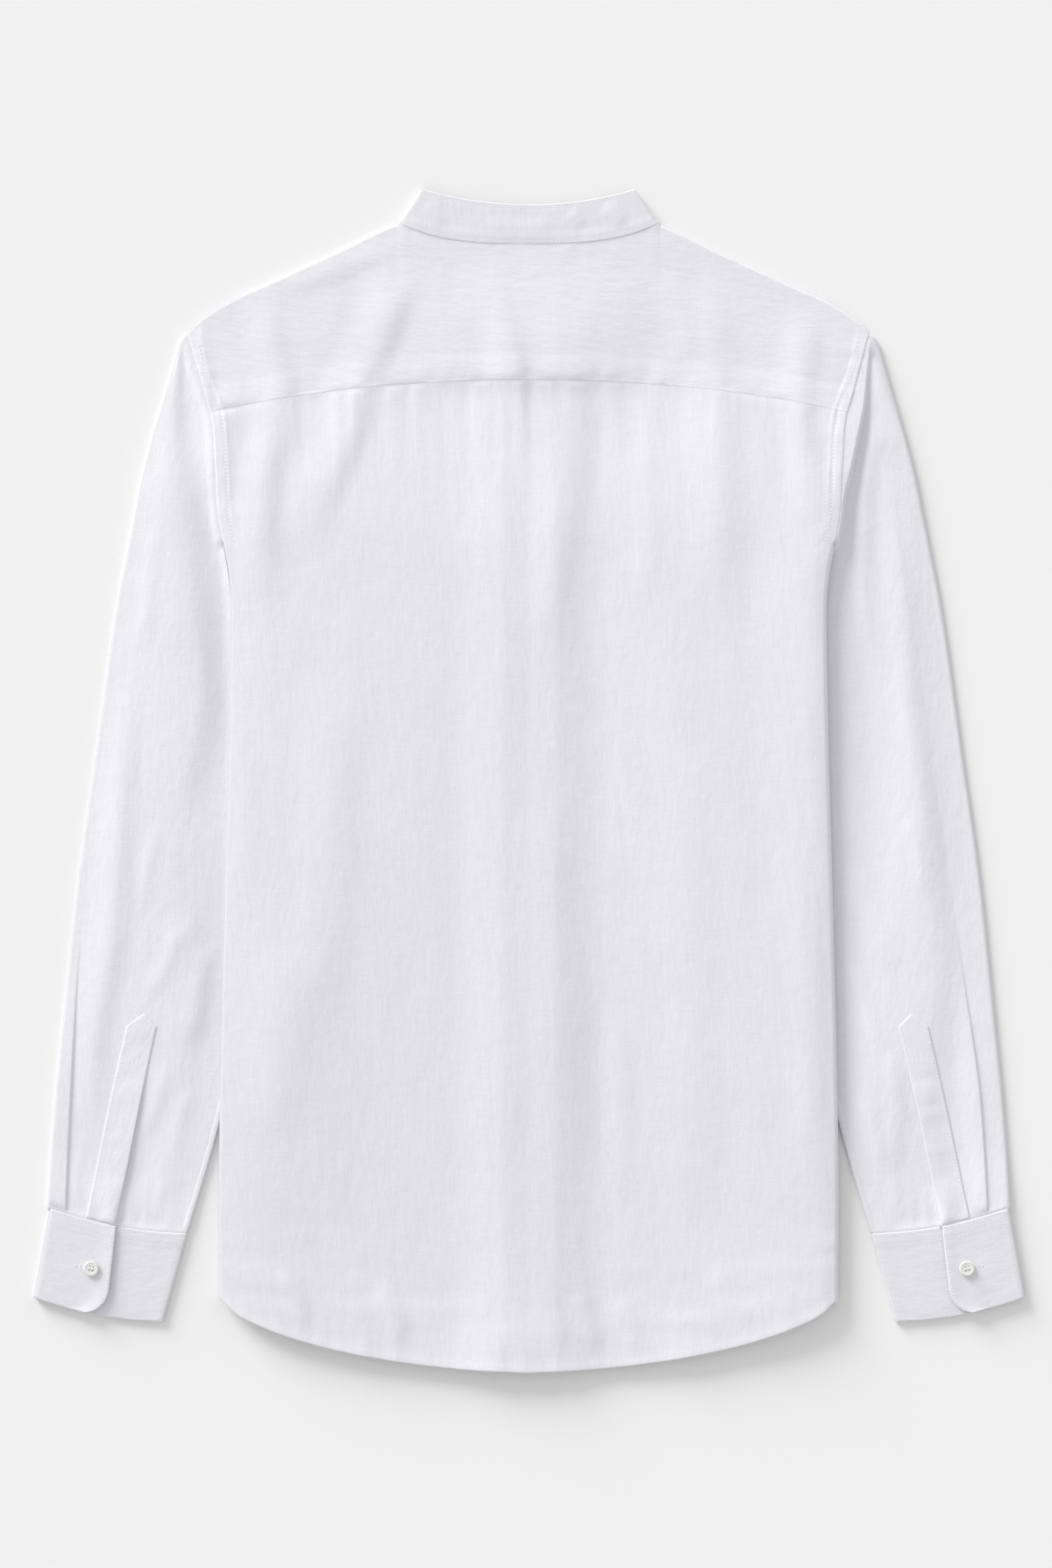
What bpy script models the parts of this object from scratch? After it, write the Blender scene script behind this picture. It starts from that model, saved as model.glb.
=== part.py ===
"""Band-collar linen shirt, laid flat with its back up: every sewn piece as its own closed solid.

Run with: blender --background --python part.py

The frame: +X to the viewer's right as the back is looked down on (the wearer's right), +Y towards the
collar, +Z up. The origin is under the middle of the shirt's outline, on the surface that it lies on.
Tables and sizes are in millimetres and become metres where meshes are made.

How it lies: the two fronts are face down on the surface, and the back lies on them. Each side of the
body is folded under along a line down from the armhole, so that a flap of back and front lies beneath,
and the sleeves are turned down beside the body and run under its folded edges.
"""

import math

import bmesh
import bpy
import numpy as np

MM = 0.001

# Cloth
CLOTH = 1.0  # the wall of one layer of linen
BAND = 1.4  # the wall of a doubled and interlined piece: collar band and cuff
LAYER = 1.7  # from the middle of one layer to the middle of the next, where they lie on each other
ON_PANEL = 1.35  # from the middle of a panel to the middle of a strip sewn on it
SEAM_GAP = 0.4
UNDER_SEAM_GAP = 1.2  # at the seams of the front, whose edges are curved
ON_SURFACE = CLOTH / 2  # the middle of a layer that lies on the surface
CLEARANCE = 0.3  # between faces that rest on each other

# Body
YOKE_DEPTH_AT_SIDE = 22.0  # how far the yoke seam drops from the middle of the back to the armhole
YOKE_SEAM_TOP = 273.5
YOKE_SEAM_POWER = 2.2
HALF_YOKE = 218.0
SHOULDER_END = 234.0
YOKE_HEAD_END = 233.4  # the x where the shoulder's fold ends beside the sleeve
FRONT_YOKE_REACH = 40.0  # how far the yoke comes over the shoulder onto the front
FRONT_YOKE_END = 219.5  # the x where that ends at the armhole
FLAP_REACH = 65.0  # how much of each side is folded under
FOLD_START = 160.0  # the y where the armhole seam goes over the folded edge
FRONT_SHORTER = 14.0  # how much higher the fronts' hem is than the back's, at the middle
FRONT_HEM_JOINS = 230.0  # how far along the cloth that difference reaches
CORNER_Y = -364.0  # about where the body's edge turns into the hem
NECK_HALF = 89.5
NECK_SIDE_Y = 381.5
BACK_NECK_Y = 367.5
FRONT_NECK_Y = 288.0
NECK_ROUND = 2.2  # the power of the front neck's curve, 2 for an ellipse
PLACKET_HALF = 17.0

# Heights that the layers are stacked from
SLEEVE_UNDER_BODY = 3.6  # the lift over both layers of a tucked sleeve
CAP_UNDER_BODY = 1.6  # the lift over the one layer of sleeve beside the armhole
FLAP_LIFT = 4.4  # the lift over the two layers of the folded flap
BACK_LEVEL = 5.4  # the back where nothing but the front is beneath
SHOULDER_LEVEL = 4.2
SHOULDER_SLOPE = 70.0  # how far down the yoke the cloth rises from the shoulder to the back's level
BACK_OVER_FRONT = 2.1
LAP_BLEND = 60.0  # the back rests on both fronts in the middle, and on one each side of this x
COLLAR_LIFT = 1.7  # the lift of the yoke over the lapped ends of the collar band
BUTTON_HEIGHT = 2.0
OVER_BUTTONS = BUTTON_HEIGHT + CLEARANCE

# Where each lift begins and over what width the cloth eases up to it: (place, width)
CAP_TO_SLEEVE_Y = (215.0, 50.0)
FLAP_RISE_X = (75.0, 45.0)
FLAP_RISE_Y = (240.0, 65.0)
SLEEVE_RISE = 45.0
PLACKET_RISE = 38.0
COLLAR_RISE_Y = (262.0, 20.0)
COLLAR_FALL_Y = (372.0, 40.0)
COLLAR_FALL_X = (90.0, 50.0)
SAG_FALL = (-180.0, 110.0)

# Sleeve
SLEEVE_FLAT = 2.1  # the upper layer where the sleeve is pressed under the body
SLEEVE_PUFF = 3.2  # how far the upper layer stands above that where it is free
SLEEVE_EDGE = 3.3  # the upper layer at the rolled outer edge
SLEEVE_TURN = (SLEEVE_EDGE - ON_SURFACE) / 2  # the radius of that roll
PUFF_SLOPE = 0.06  # the most that it stands up for each unit of its free width
FREE_BESIDE_BODY = 9.0  # how far outside the body's folded edge the sleeve is free to stand up
FREE_BESIDE_SEAM = 8.0  # and outside the armhole seam
HANG_WIDTH = 17.0  # over what width the upper layer drops from the armhole seam

# The visible edge of the body: the armhole seam down to FOLD_START, the folded edge below it.
BODY_EDGE = {
    "y": (304, 283, 252, 215, 180, 160, 140, 116, 26, -64, -184, -300, -364),
    "x": (234, 229.5, 218, 214.5, 212.5, 208.5, 205, 203, 204.5, 207, 210, 211.5, 211),
}
# The shoulder's outline, a fold of the yoke.
SHOULDER = {
    "x": (88, 103, 125, 149, 175, 202, 218, 229, 234),
    "y": (381.5, 375, 364, 353, 341, 328.5, 319, 310.5, 304),
}
# The back's hem, along the cloth from the middle: round the folded edge to the side seam.
HEM = {
    "along": (0, 50, 100, 150, 185, 200, 210, 222, 246, 276),
    "y": (-404, -401.5, -395, -384, -371.5, -363.5, -354, -345, -334, -328),
}
# The share of that reach at each height: almost nothing at the armhole, all of it lower down.
FLAP = {"y": (-400, 15, 60, 100, 130, 160), "share": (1, 1, 0.92, 0.65, 0.34, 0.08)}
# How far the fronts' armhole lies inside the back's.
FRONT_ARMHOLE = {"y": (150, 160, 180, 215, 252, 304), "inset": (3, 4, 9, 13, 13, 10)}
# The line past which the body is lifted clear of the sleeve beneath it.
TUCK = {
    "y": (-300, -229, -77, 40, 118, 165, 190, 215, 270, 305),
    "x": (225, 200, 155, 125, 105, 118, 180, 192, 200, 215),
}
# The sleeve, shoulder to cuff: its outer edge, its upper layer's inner edge (the armhole seam, then the
# underarm seam) with its height, and its lower layer's inner edge.
SLEEVE_COLUMNS = ("outer_x", "outer_y", "inner_x", "inner_y", "inner_z", "low_x", "low_y")
SLEEVE = (
    (236.8, 302.8, 234.8, 301.8, 4.4, 230.5, 300.6),
    (239.5, 296, 233.4, 293, 4.6, 224, 291),
    (243, 284, 230, 281, 5.0, 217, 276),
    (250, 260, 221, 256, 6.2, 207, 252),
    (257, 236, 217, 231, 7.4, 202, 228),
    (264, 209, 215.4, 203, 8.9, 200, 203),
    (269, 184, 213.6, 178, 9.7, 199, 180),
    (272.5, 167, 212.4, 163, 9.9, 198, 164),
    (274.5, 157, 212.0, 154, 6.0, 196, 152),
    (276, 149, 211.6, 147, 2.6, 188, 142),
    (278, 140, 172, 134, 2.1, 170, 132),
    (281.5, 121, 118, 118, 2.1, 118, 118),
    (287, 86, 126.5, 86, 2.1, 126.5, 86),
    (292.5, 46, 137.5, 46, 2.1, 137.5, 46),
    (298, 6, 148, 6, 2.1, 148, 6),
    (304, -34, 158.5, -34, 2.1, 158.5, -34),
    (309.5, -76, 169.5, -76, 2.1, 169.5, -76),
    (314.5, -124, 182.5, -124, 2.1, 182.5, -124),
    (319, -168, 194.5, -170, 2.1, 194.5, -170),
    (323.5, -212, 207, -218, 2.1, 207, -218),
    (327, -256, 220, -266, 2.1, 220, -266),
    (329, -290.5, 233, -308.5, 2.1, 233, -308.5),
)
FIRST_CLOSED_ROW = 11  # from the underarm down the sleeve is a closed tube

# The largest soft folds: each is a ridge from its top to its foot, fading out at both ends.
FOLD_COLUMNS = ("x_top", "y_top", "x_foot", "y_foot", "half_width", "height")
BODY_FOLDS = (
    (-180, 345, -186, 120, 26, 1.6),
    (-92, 368, -152, 170, 34, 2.4),
    (30, 345, 22, 110, 26, 1.5),
    (122, 345, 129, 100, 28, 1.5),
    (187, 330, 189, 205, 22, 1.3),
    (-132, 110, -152, -170, 40, 2.2),
    (-8, 120, -12, -380, 55, 1.6),
    (112, 60, 108, -340, 50, 1.4),
)
# On the sleeves x is measured outwards from the middle, on both sides.
SLEEVE_FOLDS = {
    "left": ((268, 90, 294, -150, 20, 1.5), (240, 30, 243, -150, 18, 1.2)),
    "right": ((250, 235, 268, 60, 22, 1.8), (266, 70, 288, -160, 22, 1.8)),
}
# The tuck that takes the sleeve's fullness into the cuff: a lap that fades out up the sleeve
CUFF_TUCK = {"from_outer_edge": 15.0, "top_y": -150.0, "length": 90.0, "lap": 1.1, "step": 2.0}

# Cuff corners, and where its two ends lie along its top edge, as shares from the outer edge
CUFF_TOP = ((329.2, -291.6), (233.2, -309.6))
CUFF_FOOT = ((340, -352.5), (250, -370))
CUFF_SAG = 4.0  # how far each edge bows towards the hand
CUFF_HEIGHT = 62.0
CUFF_OVER_END = 0.49
CUFF_OVER_SLANT = 0.075  # how much further across the upper end lies at the foot
CUFF_UNDER_END = 0.28
CUFF_FOLDS = (0.03, 0.978)
CUFF_CORNER = 12.0
CUFF_LEVELS = {"under": 0.7, "lower_lap": 3.0, "upper_lap": 5.0}
CUFF_ROWS = (0, 0.3, 0.6, 0.8, 0.87, 0.94, 0.98, 1)

# Sleeve placket: shares across the sleeve from the outer edge, at its top corners and at the cuff
PLACKET_COLUMNS = ("outer_top", "outer_foot", "inner_top", "inner_foot")
SLEEVE_PLACKET = {"left": (0.352, 0.272, 0.515, 0.480), "right": (0.372, 0.291, 0.534, 0.486)}
PLACKET_TOP_Y = -167.0
PLACKET_POINT = 8.5
PLACKET_TO_CUFF = 0.6

# Collar band
COLLAR_FOLD_TOP = (73.0, 404.65)
COLLAR_FOLD_FOOT = (89.0, 382.5)
COLLAR_BACK_TOP = 394.0
COLLAR_FRONT_HEIGHT = 28.0
COLLAR_LEVEL = 4.7
COLLAR_LOW = BAND / 2 + 0.05  # the middle of the band's front, which lies on the surface
COLLAR_TURN_DROP = 2.0  # how much lower the band's front leaves its folded end
COLLAR_LAP_RISE = 30.0

# Buttons
CUFF_BUTTON = 10.0
FRONT_BUTTON = 11.0
CUFF_BUTTON_AT = (299.0, -333.0)
COLLAR_BUTTON_Y = 302.0
FIRST_BUTTON_Y = 232.0
BUTTON_SPACING = 88.0
FRONT_BUTTONS = 7
BUTTON_PROFILE = {
    "radius": (0, 0.72, 1, 0.96, 0.82, 0.66, 0),
    "height": (0, 0, 0.45, 0.9, 1, 0.62, 0.55),
}
EYE_RADIUS = 0.7
EYE_FROM_MIDDLE = 0.17  # as a share of the button's width

WHITE_LINEN = (0.80, 0.79, 0.83)
MILK_SHELL = (0.78, 0.78, 0.74)


# ---------------------------------------------------------------- curves and heights


def curve(table, of, at, value):
    """A smooth curve through the table's points, level where they turn, at one value or many."""
    xs, ys = (np.asarray(table[k], float) for k in (of, at))
    order = np.argsort(xs)
    xs, ys = xs[order], ys[order]
    steps, rises = np.diff(xs), np.diff(ys) / np.diff(xs)
    slopes = np.concatenate([[rises[0]], (rises[1:] + rises[:-1]) / 2, [rises[-1]]])
    turning = np.concatenate([[False], rises[1:] * rises[:-1] <= 0, [False]])
    slopes[turning] = 0.0
    v = np.clip(np.asarray(value, float), xs[0], xs[-1])
    i = np.clip(np.searchsorted(xs, v, side="right") - 1, 0, len(steps) - 1)
    t = (v - xs[i]) / steps[i]
    return (
        ys[i] * (1 + 2 * t) * (1 - t) ** 2
        + slopes[i] * steps[i] * t * (1 - t) ** 2
        + ys[i + 1] * t**2 * (3 - 2 * t)
        + slopes[i + 1] * steps[i] * t**2 * (t - 1)
    )


def ease(value):
    """0 below 0, 1 above 1, and a smooth step between."""
    t = np.clip(value, 0.0, 1.0)
    return t * t * (3 - 2 * t)


def past(value, rise):
    """How far value is past the place of a rise, eased from 0 to 1 over its width."""
    return ease((value - rise[0]) / rise[1])


def before(value, rise):
    return ease((rise[0] - value) / rise[1])


def soft_max(a, b):
    """The larger of the two, with the corner where they cross rounded."""
    return np.maximum(a, b) + 0.25 * np.exp(-2 * np.abs(a - b))


def body_edge(y):
    return curve(BODY_EDGE, "y", "x", y)


def yoke_seam(x):
    return YOKE_SEAM_TOP - YOKE_DEPTH_AT_SIDE * (np.abs(x) / HALF_YOKE) ** YOKE_SEAM_POWER


def back_neck(x):
    """The seam of the collar band on the yoke."""
    return BACK_NECK_Y + (NECK_SIDE_Y - BACK_NECK_Y) * (np.abs(x) / NECK_HALF) ** 3


def round_neck(x, half, top, foot):
    """A front neck curve from (half, top) down to (0, foot)."""
    share = np.clip(np.abs(x) / half, 0, 1) ** NECK_ROUND
    return top - (top - foot) * (1 - share) ** (1 / NECK_ROUND)


def front_neck_x(y):
    """The x where the front neck curve is at y."""
    share = np.clip((NECK_SIDE_Y - y) / (NECK_SIDE_Y - FRONT_NECK_Y), 0, 1) ** NECK_ROUND
    return NECK_HALF * (1 - share) ** (1 / NECK_ROUND)


def front_neck(x):
    return round_neck(x, NECK_HALF, NECK_SIDE_Y, FRONT_NECK_Y)


def shoulder(x):
    return curve(SHOULDER, "x", "y", np.abs(x))


def hem(along):
    return curve(HEM, "along", "y", np.abs(along))


def front_hem(along):
    return hem(along) + FRONT_SHORTER * ease(1 - np.abs(along) / FRONT_HEM_JOINS)


def sleeve_lift(x, y):
    """How far the sleeve that lies beneath raises the body."""
    beneath = ease((np.abs(x) - np.interp(y, TUCK["y"], TUCK["x"])) / SLEEVE_RISE + 1)
    both_layers = before(y, CAP_TO_SLEEVE_Y)
    return beneath * (CAP_UNDER_BODY + (SLEEVE_UNDER_BODY - CAP_UNDER_BODY) * both_layers)


def flap_lift(x, y):
    return FLAP_LIFT * past(np.abs(x), FLAP_RISE_X) * before(y, FLAP_RISE_Y)


def front_height(x, y, crosses):
    """The middle of a front's cloth. The one that crosses the middle lies over the button placket."""
    over = OVER_BUTTONS + (ON_PANEL if crosses else 0)
    near = np.where(crosses, x, np.abs(x))
    lift = over * ease(1 - (near - PLACKET_HALF) / PLACKET_RISE)
    return ON_SURFACE + sleeve_lift(x, y) + flap_lift(x, y) + lift


def folds(x, y, table):
    """How far the soft folds in a table raise the cloth."""
    raised = 0.0
    for row in table:
        fold = dict(zip(FOLD_COLUMNS, row))
        run_x, run_y = fold["x_foot"] - fold["x_top"], fold["y_foot"] - fold["y_top"]
        length = math.hypot(run_x, run_y)
        from_x, from_y = x - fold["x_top"], y - fold["y_top"]
        along = (from_x * run_x + from_y * run_y) / length**2
        aside = np.abs(from_x * run_y - from_y * run_x) / length
        fade = ease(4 * np.minimum(along, 1 - along))
        raised = raised + fold["height"] * fade * ease(1 - aside / fold["half_width"])
    return raised


def back_height(x, y):
    """The middle of the back's and the yoke's cloth."""
    beside = ease(np.abs(x) / LAP_BLEND)
    front = front_height(np.abs(x), y, True) * (1 - beside) + front_height(x, y, False) * beside
    below_shoulder = np.where(np.abs(x) > NECK_HALF, shoulder(x), NECK_SIDE_Y) - y
    down_yoke = ease(below_shoulder / SHOULDER_SLOPE)
    level = SHOULDER_LEVEL + (BACK_LEVEL - SHOULDER_LEVEL) * down_yoke
    over_collar = past(y, COLLAR_RISE_Y) * before(y, COLLAR_FALL_Y)
    over_collar = over_collar * before(np.abs(x), COLLAR_FALL_X)
    lift = COLLAR_LIFT * over_collar + folds(x, y, BODY_FOLDS)
    return soft_max(level, front + BACK_OVER_FRONT) + lift


# ---------------------------------------------------------------- solids from grids


def material(name, color, roughness):
    made = bpy.data.materials.new(name)
    made.use_nodes = True
    shader = made.node_tree.nodes["Principled BSDF"]
    shader.inputs["Base Color"].default_value = (*color, 1.0)
    shader.inputs["Roughness"].default_value = roughness
    shader.inputs["Metallic"].default_value = 0.0
    return made


def cloth(name, rows, finish, wall=CLOTH, closed_from=None):
    """A sheet through rows of (x, y, z) points in millimetres, None where there is no cloth, as a wall.

    From the row closed_from on, each row is a ring whose last point meets its first.
    """
    mesh = bpy.data.meshes.new(name)
    shape = bmesh.new()
    verts = [[p is not None and shape.verts.new([c * MM for c in p]) for p in row] for row in rows]
    columns = len(rows[0])
    for j in range(len(rows) - 1):
        closes = closed_from is not None and j >= closed_from
        for i in range(columns if closes else columns - 1):
            k = (i + 1) % columns
            corners = (verts[j][i], verts[j][k], verts[j + 1][k], verts[j + 1][i])
            if all(corners):
                shape.faces.new(corners)
    loose = [v for v in shape.verts if not v.link_faces]
    bmesh.ops.delete(shape, geom=loose, context="VERTS")
    bmesh.ops.recalc_face_normals(shape, faces=shape.faces)
    shape.to_mesh(mesh)
    shape.free()
    mesh.materials.append(finish)
    mesh.shade_smooth()
    made = bpy.data.objects.new(name, mesh)
    bpy.context.scene.collection.objects.link(made)
    solid = made.modifiers.new("wall", "SOLIDIFY")
    solid.thickness = wall * MM
    solid.offset = 0.0
    solid.use_even_offset = True
    return made


def mirrored(points):
    return [p if p is None else (-p[0], p[1], p[2]) for p in reversed(points)]


TURN_SHARES = (0.25, 0.5, 0.75)  # the places of the points round a fold, between its two ends


def arc(centre_x, centre_z, radius, y_start, y_end):
    """Points of a half turn in the x-z plane, from the top outwards and down, without its two ends."""
    return [
        (
            centre_x + radius * math.sin(math.pi * share),
            y_start + (y_end - y_start) * share,
            centre_z + radius * math.cos(math.pi * share),
        )
        for share in TURN_SHARES
    ]


# ---------------------------------------------------------------- body

BACK_ROWS = (
    0, 0.06, 0.115, 0.148, 0.165, 0.19, 0.225, 0.27, 0.33, 0.4, 0.48, 0.56, 0.64, 0.72, 0.79, 0.85,
    0.9, 0.94, 0.975, 1,
)
MAIN_SHARES = (0, 0.13, 0.26, 0.39, 0.51, 0.62, 0.74, 0.84, 0.92, 0.97, 1)
FLAP_SHARES = (0.45, 1.0)
FLAP_HEM = (0.78, 0.22)  # the share of the way down where a flap's rows begin to follow its hem
FOLDED_POINTS = len(TURN_SHARES) + 1 + len(FLAP_SHARES)
OUTER_FOLD = 2.9  # the radius of the back's side fold
FRONT_FOLD_START = FOLD_START - 3.0


def fold_line(y):
    """The x of the axis that both layers turn round at the folded edge."""
    return body_edge(y) - CLOTH / 2 - OUTER_FOLD


def flap_points(x_axis, y_edge, share_down, hem_line, lift):
    """The cloth from the fold inwards under the body, at one row."""
    reach = FLAP_REACH * curve(FLAP, "y", "share", y_edge)
    points = []
    for share in (0, *FLAP_SHARES):
        x = x_axis - share * reach
        along = body_edge(y_edge) + share * reach
        rise = (hem_line(along) - hem_line(body_edge(y_edge))) * past(share_down, FLAP_HEM)
        y = y_edge + rise
        points.append((x, y, ON_SURFACE + lift + sleeve_lift(x, y)))
    return points


def back_half(down, side):
    """One row of the back, from the middle to the end of the flap, at a share of the way down."""
    side_top = yoke_seam(HALF_YOKE)
    y_edge = side_top + down * (hem(body_edge(CORNER_Y)) - side_top)
    folded = y_edge < FOLD_START
    run = fold_line(y_edge) if folded else body_edge(y_edge) - SEAM_GAP
    points = []
    for share in MAIN_SHARES:
        x = run * share
        top = yoke_seam(x) - SEAM_GAP
        y = top + down * (hem(x) - top)
        points.append((x, y, back_height(side * x, y)))
    if not folded:
        return points + [None] * FOLDED_POINTS
    flap = flap_points(run, y_edge, down, hem, 0.0)
    start = (run, points[-1][1], points[-1][2])
    radius = (start[2] - flap[0][2]) / 2
    return points + arc(run, start[2] - radius, radius, start[1], flap[0][1]) + flap


def make_back(finish):
    rows = []
    for down in BACK_ROWS:
        rows.append(mirrored(back_half(down, -1)[1:]) + back_half(down, 1))
    return cloth("back", rows, finish)


FRONT_ROWS = (
    0, 0.05, 0.1, 0.15, 0.195, 0.215, 0.24, 0.275, 0.32, 0.38, 0.45, 0.52, 0.6, 0.68, 0.76, 0.83,
    0.89, 0.94, 1,
)
NECK_XS = (32, 46, 60, 71, 79, 84, 89.5)
FRONT_SHARES = (0.2, 0.4, 0.6, 0.8, 1)
PLACKET_ROWS = 17


def front_yoke_seam(x):
    return shoulder(np.maximum(np.abs(x), NECK_HALF)) - FRONT_YOKE_REACH


def front_top(x):
    """The fronts' upper edge: the neck curve, then the seam of the yoke."""
    return np.minimum(front_neck(x), front_yoke_seam(x))


def front_row(down, crosses):
    """One row of a front, from its middle edge to the end of its flap."""
    side_top = front_yoke_seam(FRONT_YOKE_END)
    y_edge = side_top + down * (front_hem(body_edge(CORNER_Y)) - side_top)
    folded = y_edge < FRONT_FOLD_START
    inset = curve(FRONT_ARMHOLE, "y", "inset", y_edge)
    run = fold_line(y_edge) if folded else body_edge(y_edge) - inset
    start = (-PLACKET_HALF, 0.0, PLACKET_HALF) if crosses else (PLACKET_HALF + SEAM_GAP,)
    beside_neck = [NECK_XS[-1] + (run - NECK_XS[-1]) * share for share in FRONT_SHARES]
    points = []
    for x in (*start, *NECK_XS, *beside_neck):
        top = front_top(x) - UNDER_SEAM_GAP
        y = top + down * (front_hem(x) - top)
        points.append((x, y, front_height(x, y, crosses)))
    if not folded:
        return points + [None] * FOLDED_POINTS
    flap = flap_points(run, y_edge, down, front_hem, LAYER)
    radius = (points[-1][2] - flap[0][2]) / 2
    turn = arc(run, points[-1][2] - radius, radius, points[-1][1], flap[0][1])
    return points + turn + flap


def make_front(name, crosses, finish):
    rows = [front_row(down, crosses) for down in FRONT_ROWS]
    if not crosses:  # the wearer's left, on the -X side
        rows = [mirrored(row) for row in rows]
    return cloth(name, rows, finish)


def make_front_placket(finish):
    """The strip that the buttonholes are in, from the neck to the hem, over the buttons."""
    level = ON_SURFACE + OVER_BUTTONS
    rows = []
    for down in np.linspace(0, 1, PLACKET_ROWS):
        row = []
        for x in (-PLACKET_HALF, 0.0, PLACKET_HALF):
            top = front_neck(x) - SEAM_GAP
            row.append((x, top + down * (front_hem(x) - top), level))
        rows.append(row)
    return cloth("front_placket", rows, finish)


# ---------------------------------------------------------------- yoke

YOKE_DOWN = (0, 0.25, 0.5, 0.75, 1)
NECK_COLUMNS = (0, 0.25, 0.5, 0.7, 0.87)
SHOULDER_COLUMNS = (0, 0.07, 0.18, 0.34, 0.51, 0.67, 0.8, 0.9, 0.96, 1)
UNDER_SHARES = (0, 0.5, 1)  # from the shoulder's fold to the seam with the fronts
FOLD_DEPTH = 5.0  # how far inside the shoulder's outline the fold's two heights are taken
NECK_FOOT_WIDTH = 25.0  # over what width the yoke's front edge follows the neck curve


def shoulder_outward(x):
    """The direction straight out from the shoulder line at x."""
    step = 2.0
    ahead = min(x + step, SHOULDER_END)
    rise = (shoulder(ahead) - shoulder(x - step)) / (ahead - (x - step))
    length = math.hypot(rise, 1.0)
    return -rise / length, 1.0 / length


def yoke_foot(x_head):
    """Where the column that goes over the shoulder at x_head ends, at the seam with the fronts."""
    share = (x_head - NECK_HALF) / (SHOULDER_END - NECK_HALF)
    x = NECK_HALF + (FRONT_YOKE_END - NECK_HALF) * share
    neck_inset = NECK_HALF - front_neck_x(front_yoke_seam(NECK_HALF))
    x -= neck_inset * ease(1 - (x - NECK_HALF) / NECK_FOOT_WIDTH)
    return x, front_yoke_seam(x) + SEAM_GAP


def yoke_column(x_foot, x_head, at_neck, side):
    """Points from the yoke seam up, and over the shoulder to the front's edge if not at the neck."""
    points = []
    if at_neck:
        head = back_neck(x_head) - SEAM_GAP
        for up in YOKE_DOWN:
            x = x_foot + (x_head - x_foot) * up
            y = yoke_seam(x) + up * (head - yoke_seam(x))
            points.append((x, y, back_height(side * x, y)))
        return points + [None] * (len(TURN_SHARES) + len(UNDER_SHARES))
    out_x, out_y = shoulder_outward(x_head)
    under_x, under_y = x_head - out_x * FOLD_DEPTH, shoulder(x_head) - out_y * FOLD_DEPTH
    low = ON_SURFACE + sleeve_lift(under_x, under_y)
    top = back_height(side * under_x, under_y)
    radius = (top - low) / 2
    inset = radius + CLOTH / 2
    head = (x_head - out_x * inset, shoulder(x_head) - out_y * inset)
    for up in YOKE_DOWN:
        x = x_foot + (head[0] - x_foot) * up
        y = yoke_seam(x_foot) + up * (head[1] - yoke_seam(x_foot))
        points.append((x, y, back_height(side * x, y) * (1 - up**4) + top * up**4))
    for reach, _, z in arc(0, low + radius, radius, 0, 0):
        points.append((head[0] + out_x * reach, head[1] + out_y * reach, z))
    foot_x, foot_y = yoke_foot(x_head)
    for share in UNDER_SHARES:
        y = head[1] + (foot_y - head[1]) * share
        x = max(head[0] + (foot_x - head[0]) * share, front_neck_x(y) + SEAM_GAP)
        points.append((x, y, ON_SURFACE + sleeve_lift(x, y)))
    return points


def yoke_half(side):
    """The yoke's columns from the middle to the armhole."""
    neck = NECK_HALF + 1.0
    foot_end = body_edge(yoke_seam(HALF_YOKE)) - SEAM_GAP
    columns = [yoke_column(neck * s, neck * s, True, side) for s in NECK_COLUMNS]
    for share in SHOULDER_COLUMNS:
        x_foot = neck + (foot_end - neck) * share
        x_head = neck + (YOKE_HEAD_END - neck) * share
        columns.append(yoke_column(x_foot, x_head, False, side))
    return columns


def make_yoke(finish):
    left, right = zip(*yoke_half(-1)), zip(*yoke_half(1))
    rows = [mirrored(other[1:]) + list(row) for other, row in zip(left, right)]
    return cloth("yoke", rows, finish)


# ---------------------------------------------------------------- sleeves

UPPER_SHARES = (0, 0.05, 0.11, 0.2, 0.32, 0.45, 0.58, 0.7, 0.79)
LAST_SHARES = (0.85, 0.9, 0.95, 1)
BESIDE_TUCK = (0, 2, 8)  # distances outwards from the tuck, for the columns on either side of its step
LOWER_SHARES = (0, 0.15, 0.4, 0.7, 1)
UNDERARM_ROUND = 0.8  # the radius of the folded inner edge
PLACKET_STRIP_ROWS = 9


def sleeve_sag(y, share):
    """How far the sleeve's rows bow towards the hand, more and more down to the cuff's own bow."""
    return CUFF_SAG * np.sin(np.pi * share) * before(y, SAG_FALL)


def tuck_x(outer_x):
    return outer_x - CUFF_TUCK["from_outer_edge"]


def sleeve_rise(x, y, outer_x, inner_x, inner_z, word):
    """The height of the sleeve's upper layer at x, between its outer and inner edge."""
    beside_body = y < FOLD_START
    free_from = np.where(beside_body, body_edge(y) + FREE_BESIDE_BODY, inner_x + FREE_BESIDE_SEAM)
    free_from = np.maximum(inner_x + 2, free_from)
    width = np.maximum(outer_x - free_from, 1.0)
    across = np.clip((x - free_from) / width, 0, 1)
    puff = np.minimum(SLEEVE_PUFF, PUFF_SLOPE * width) * np.sin(np.pi * across) ** 0.8
    rise = SLEEVE_FLAT + puff + (SLEEVE_EDGE - SLEEVE_FLAT) * ease(across * 1.3)
    hang = (inner_z - SLEEVE_FLAT) * ease(1 - (x - inner_x) / HANG_WIDTH)
    lap = CUFF_TUCK["lap"] * ease((CUFF_TUCK["top_y"] - y) / CUFF_TUCK["length"])
    lap = lap * ease((x - tuck_x(outer_x)) / CUFF_TUCK["step"])
    full = np.minimum(rise, SLEEVE_FLAT + SLEEVE_PUFF)
    return full + hang + lap + folds(x, y, SLEEVE_FOLDS[word])


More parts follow.
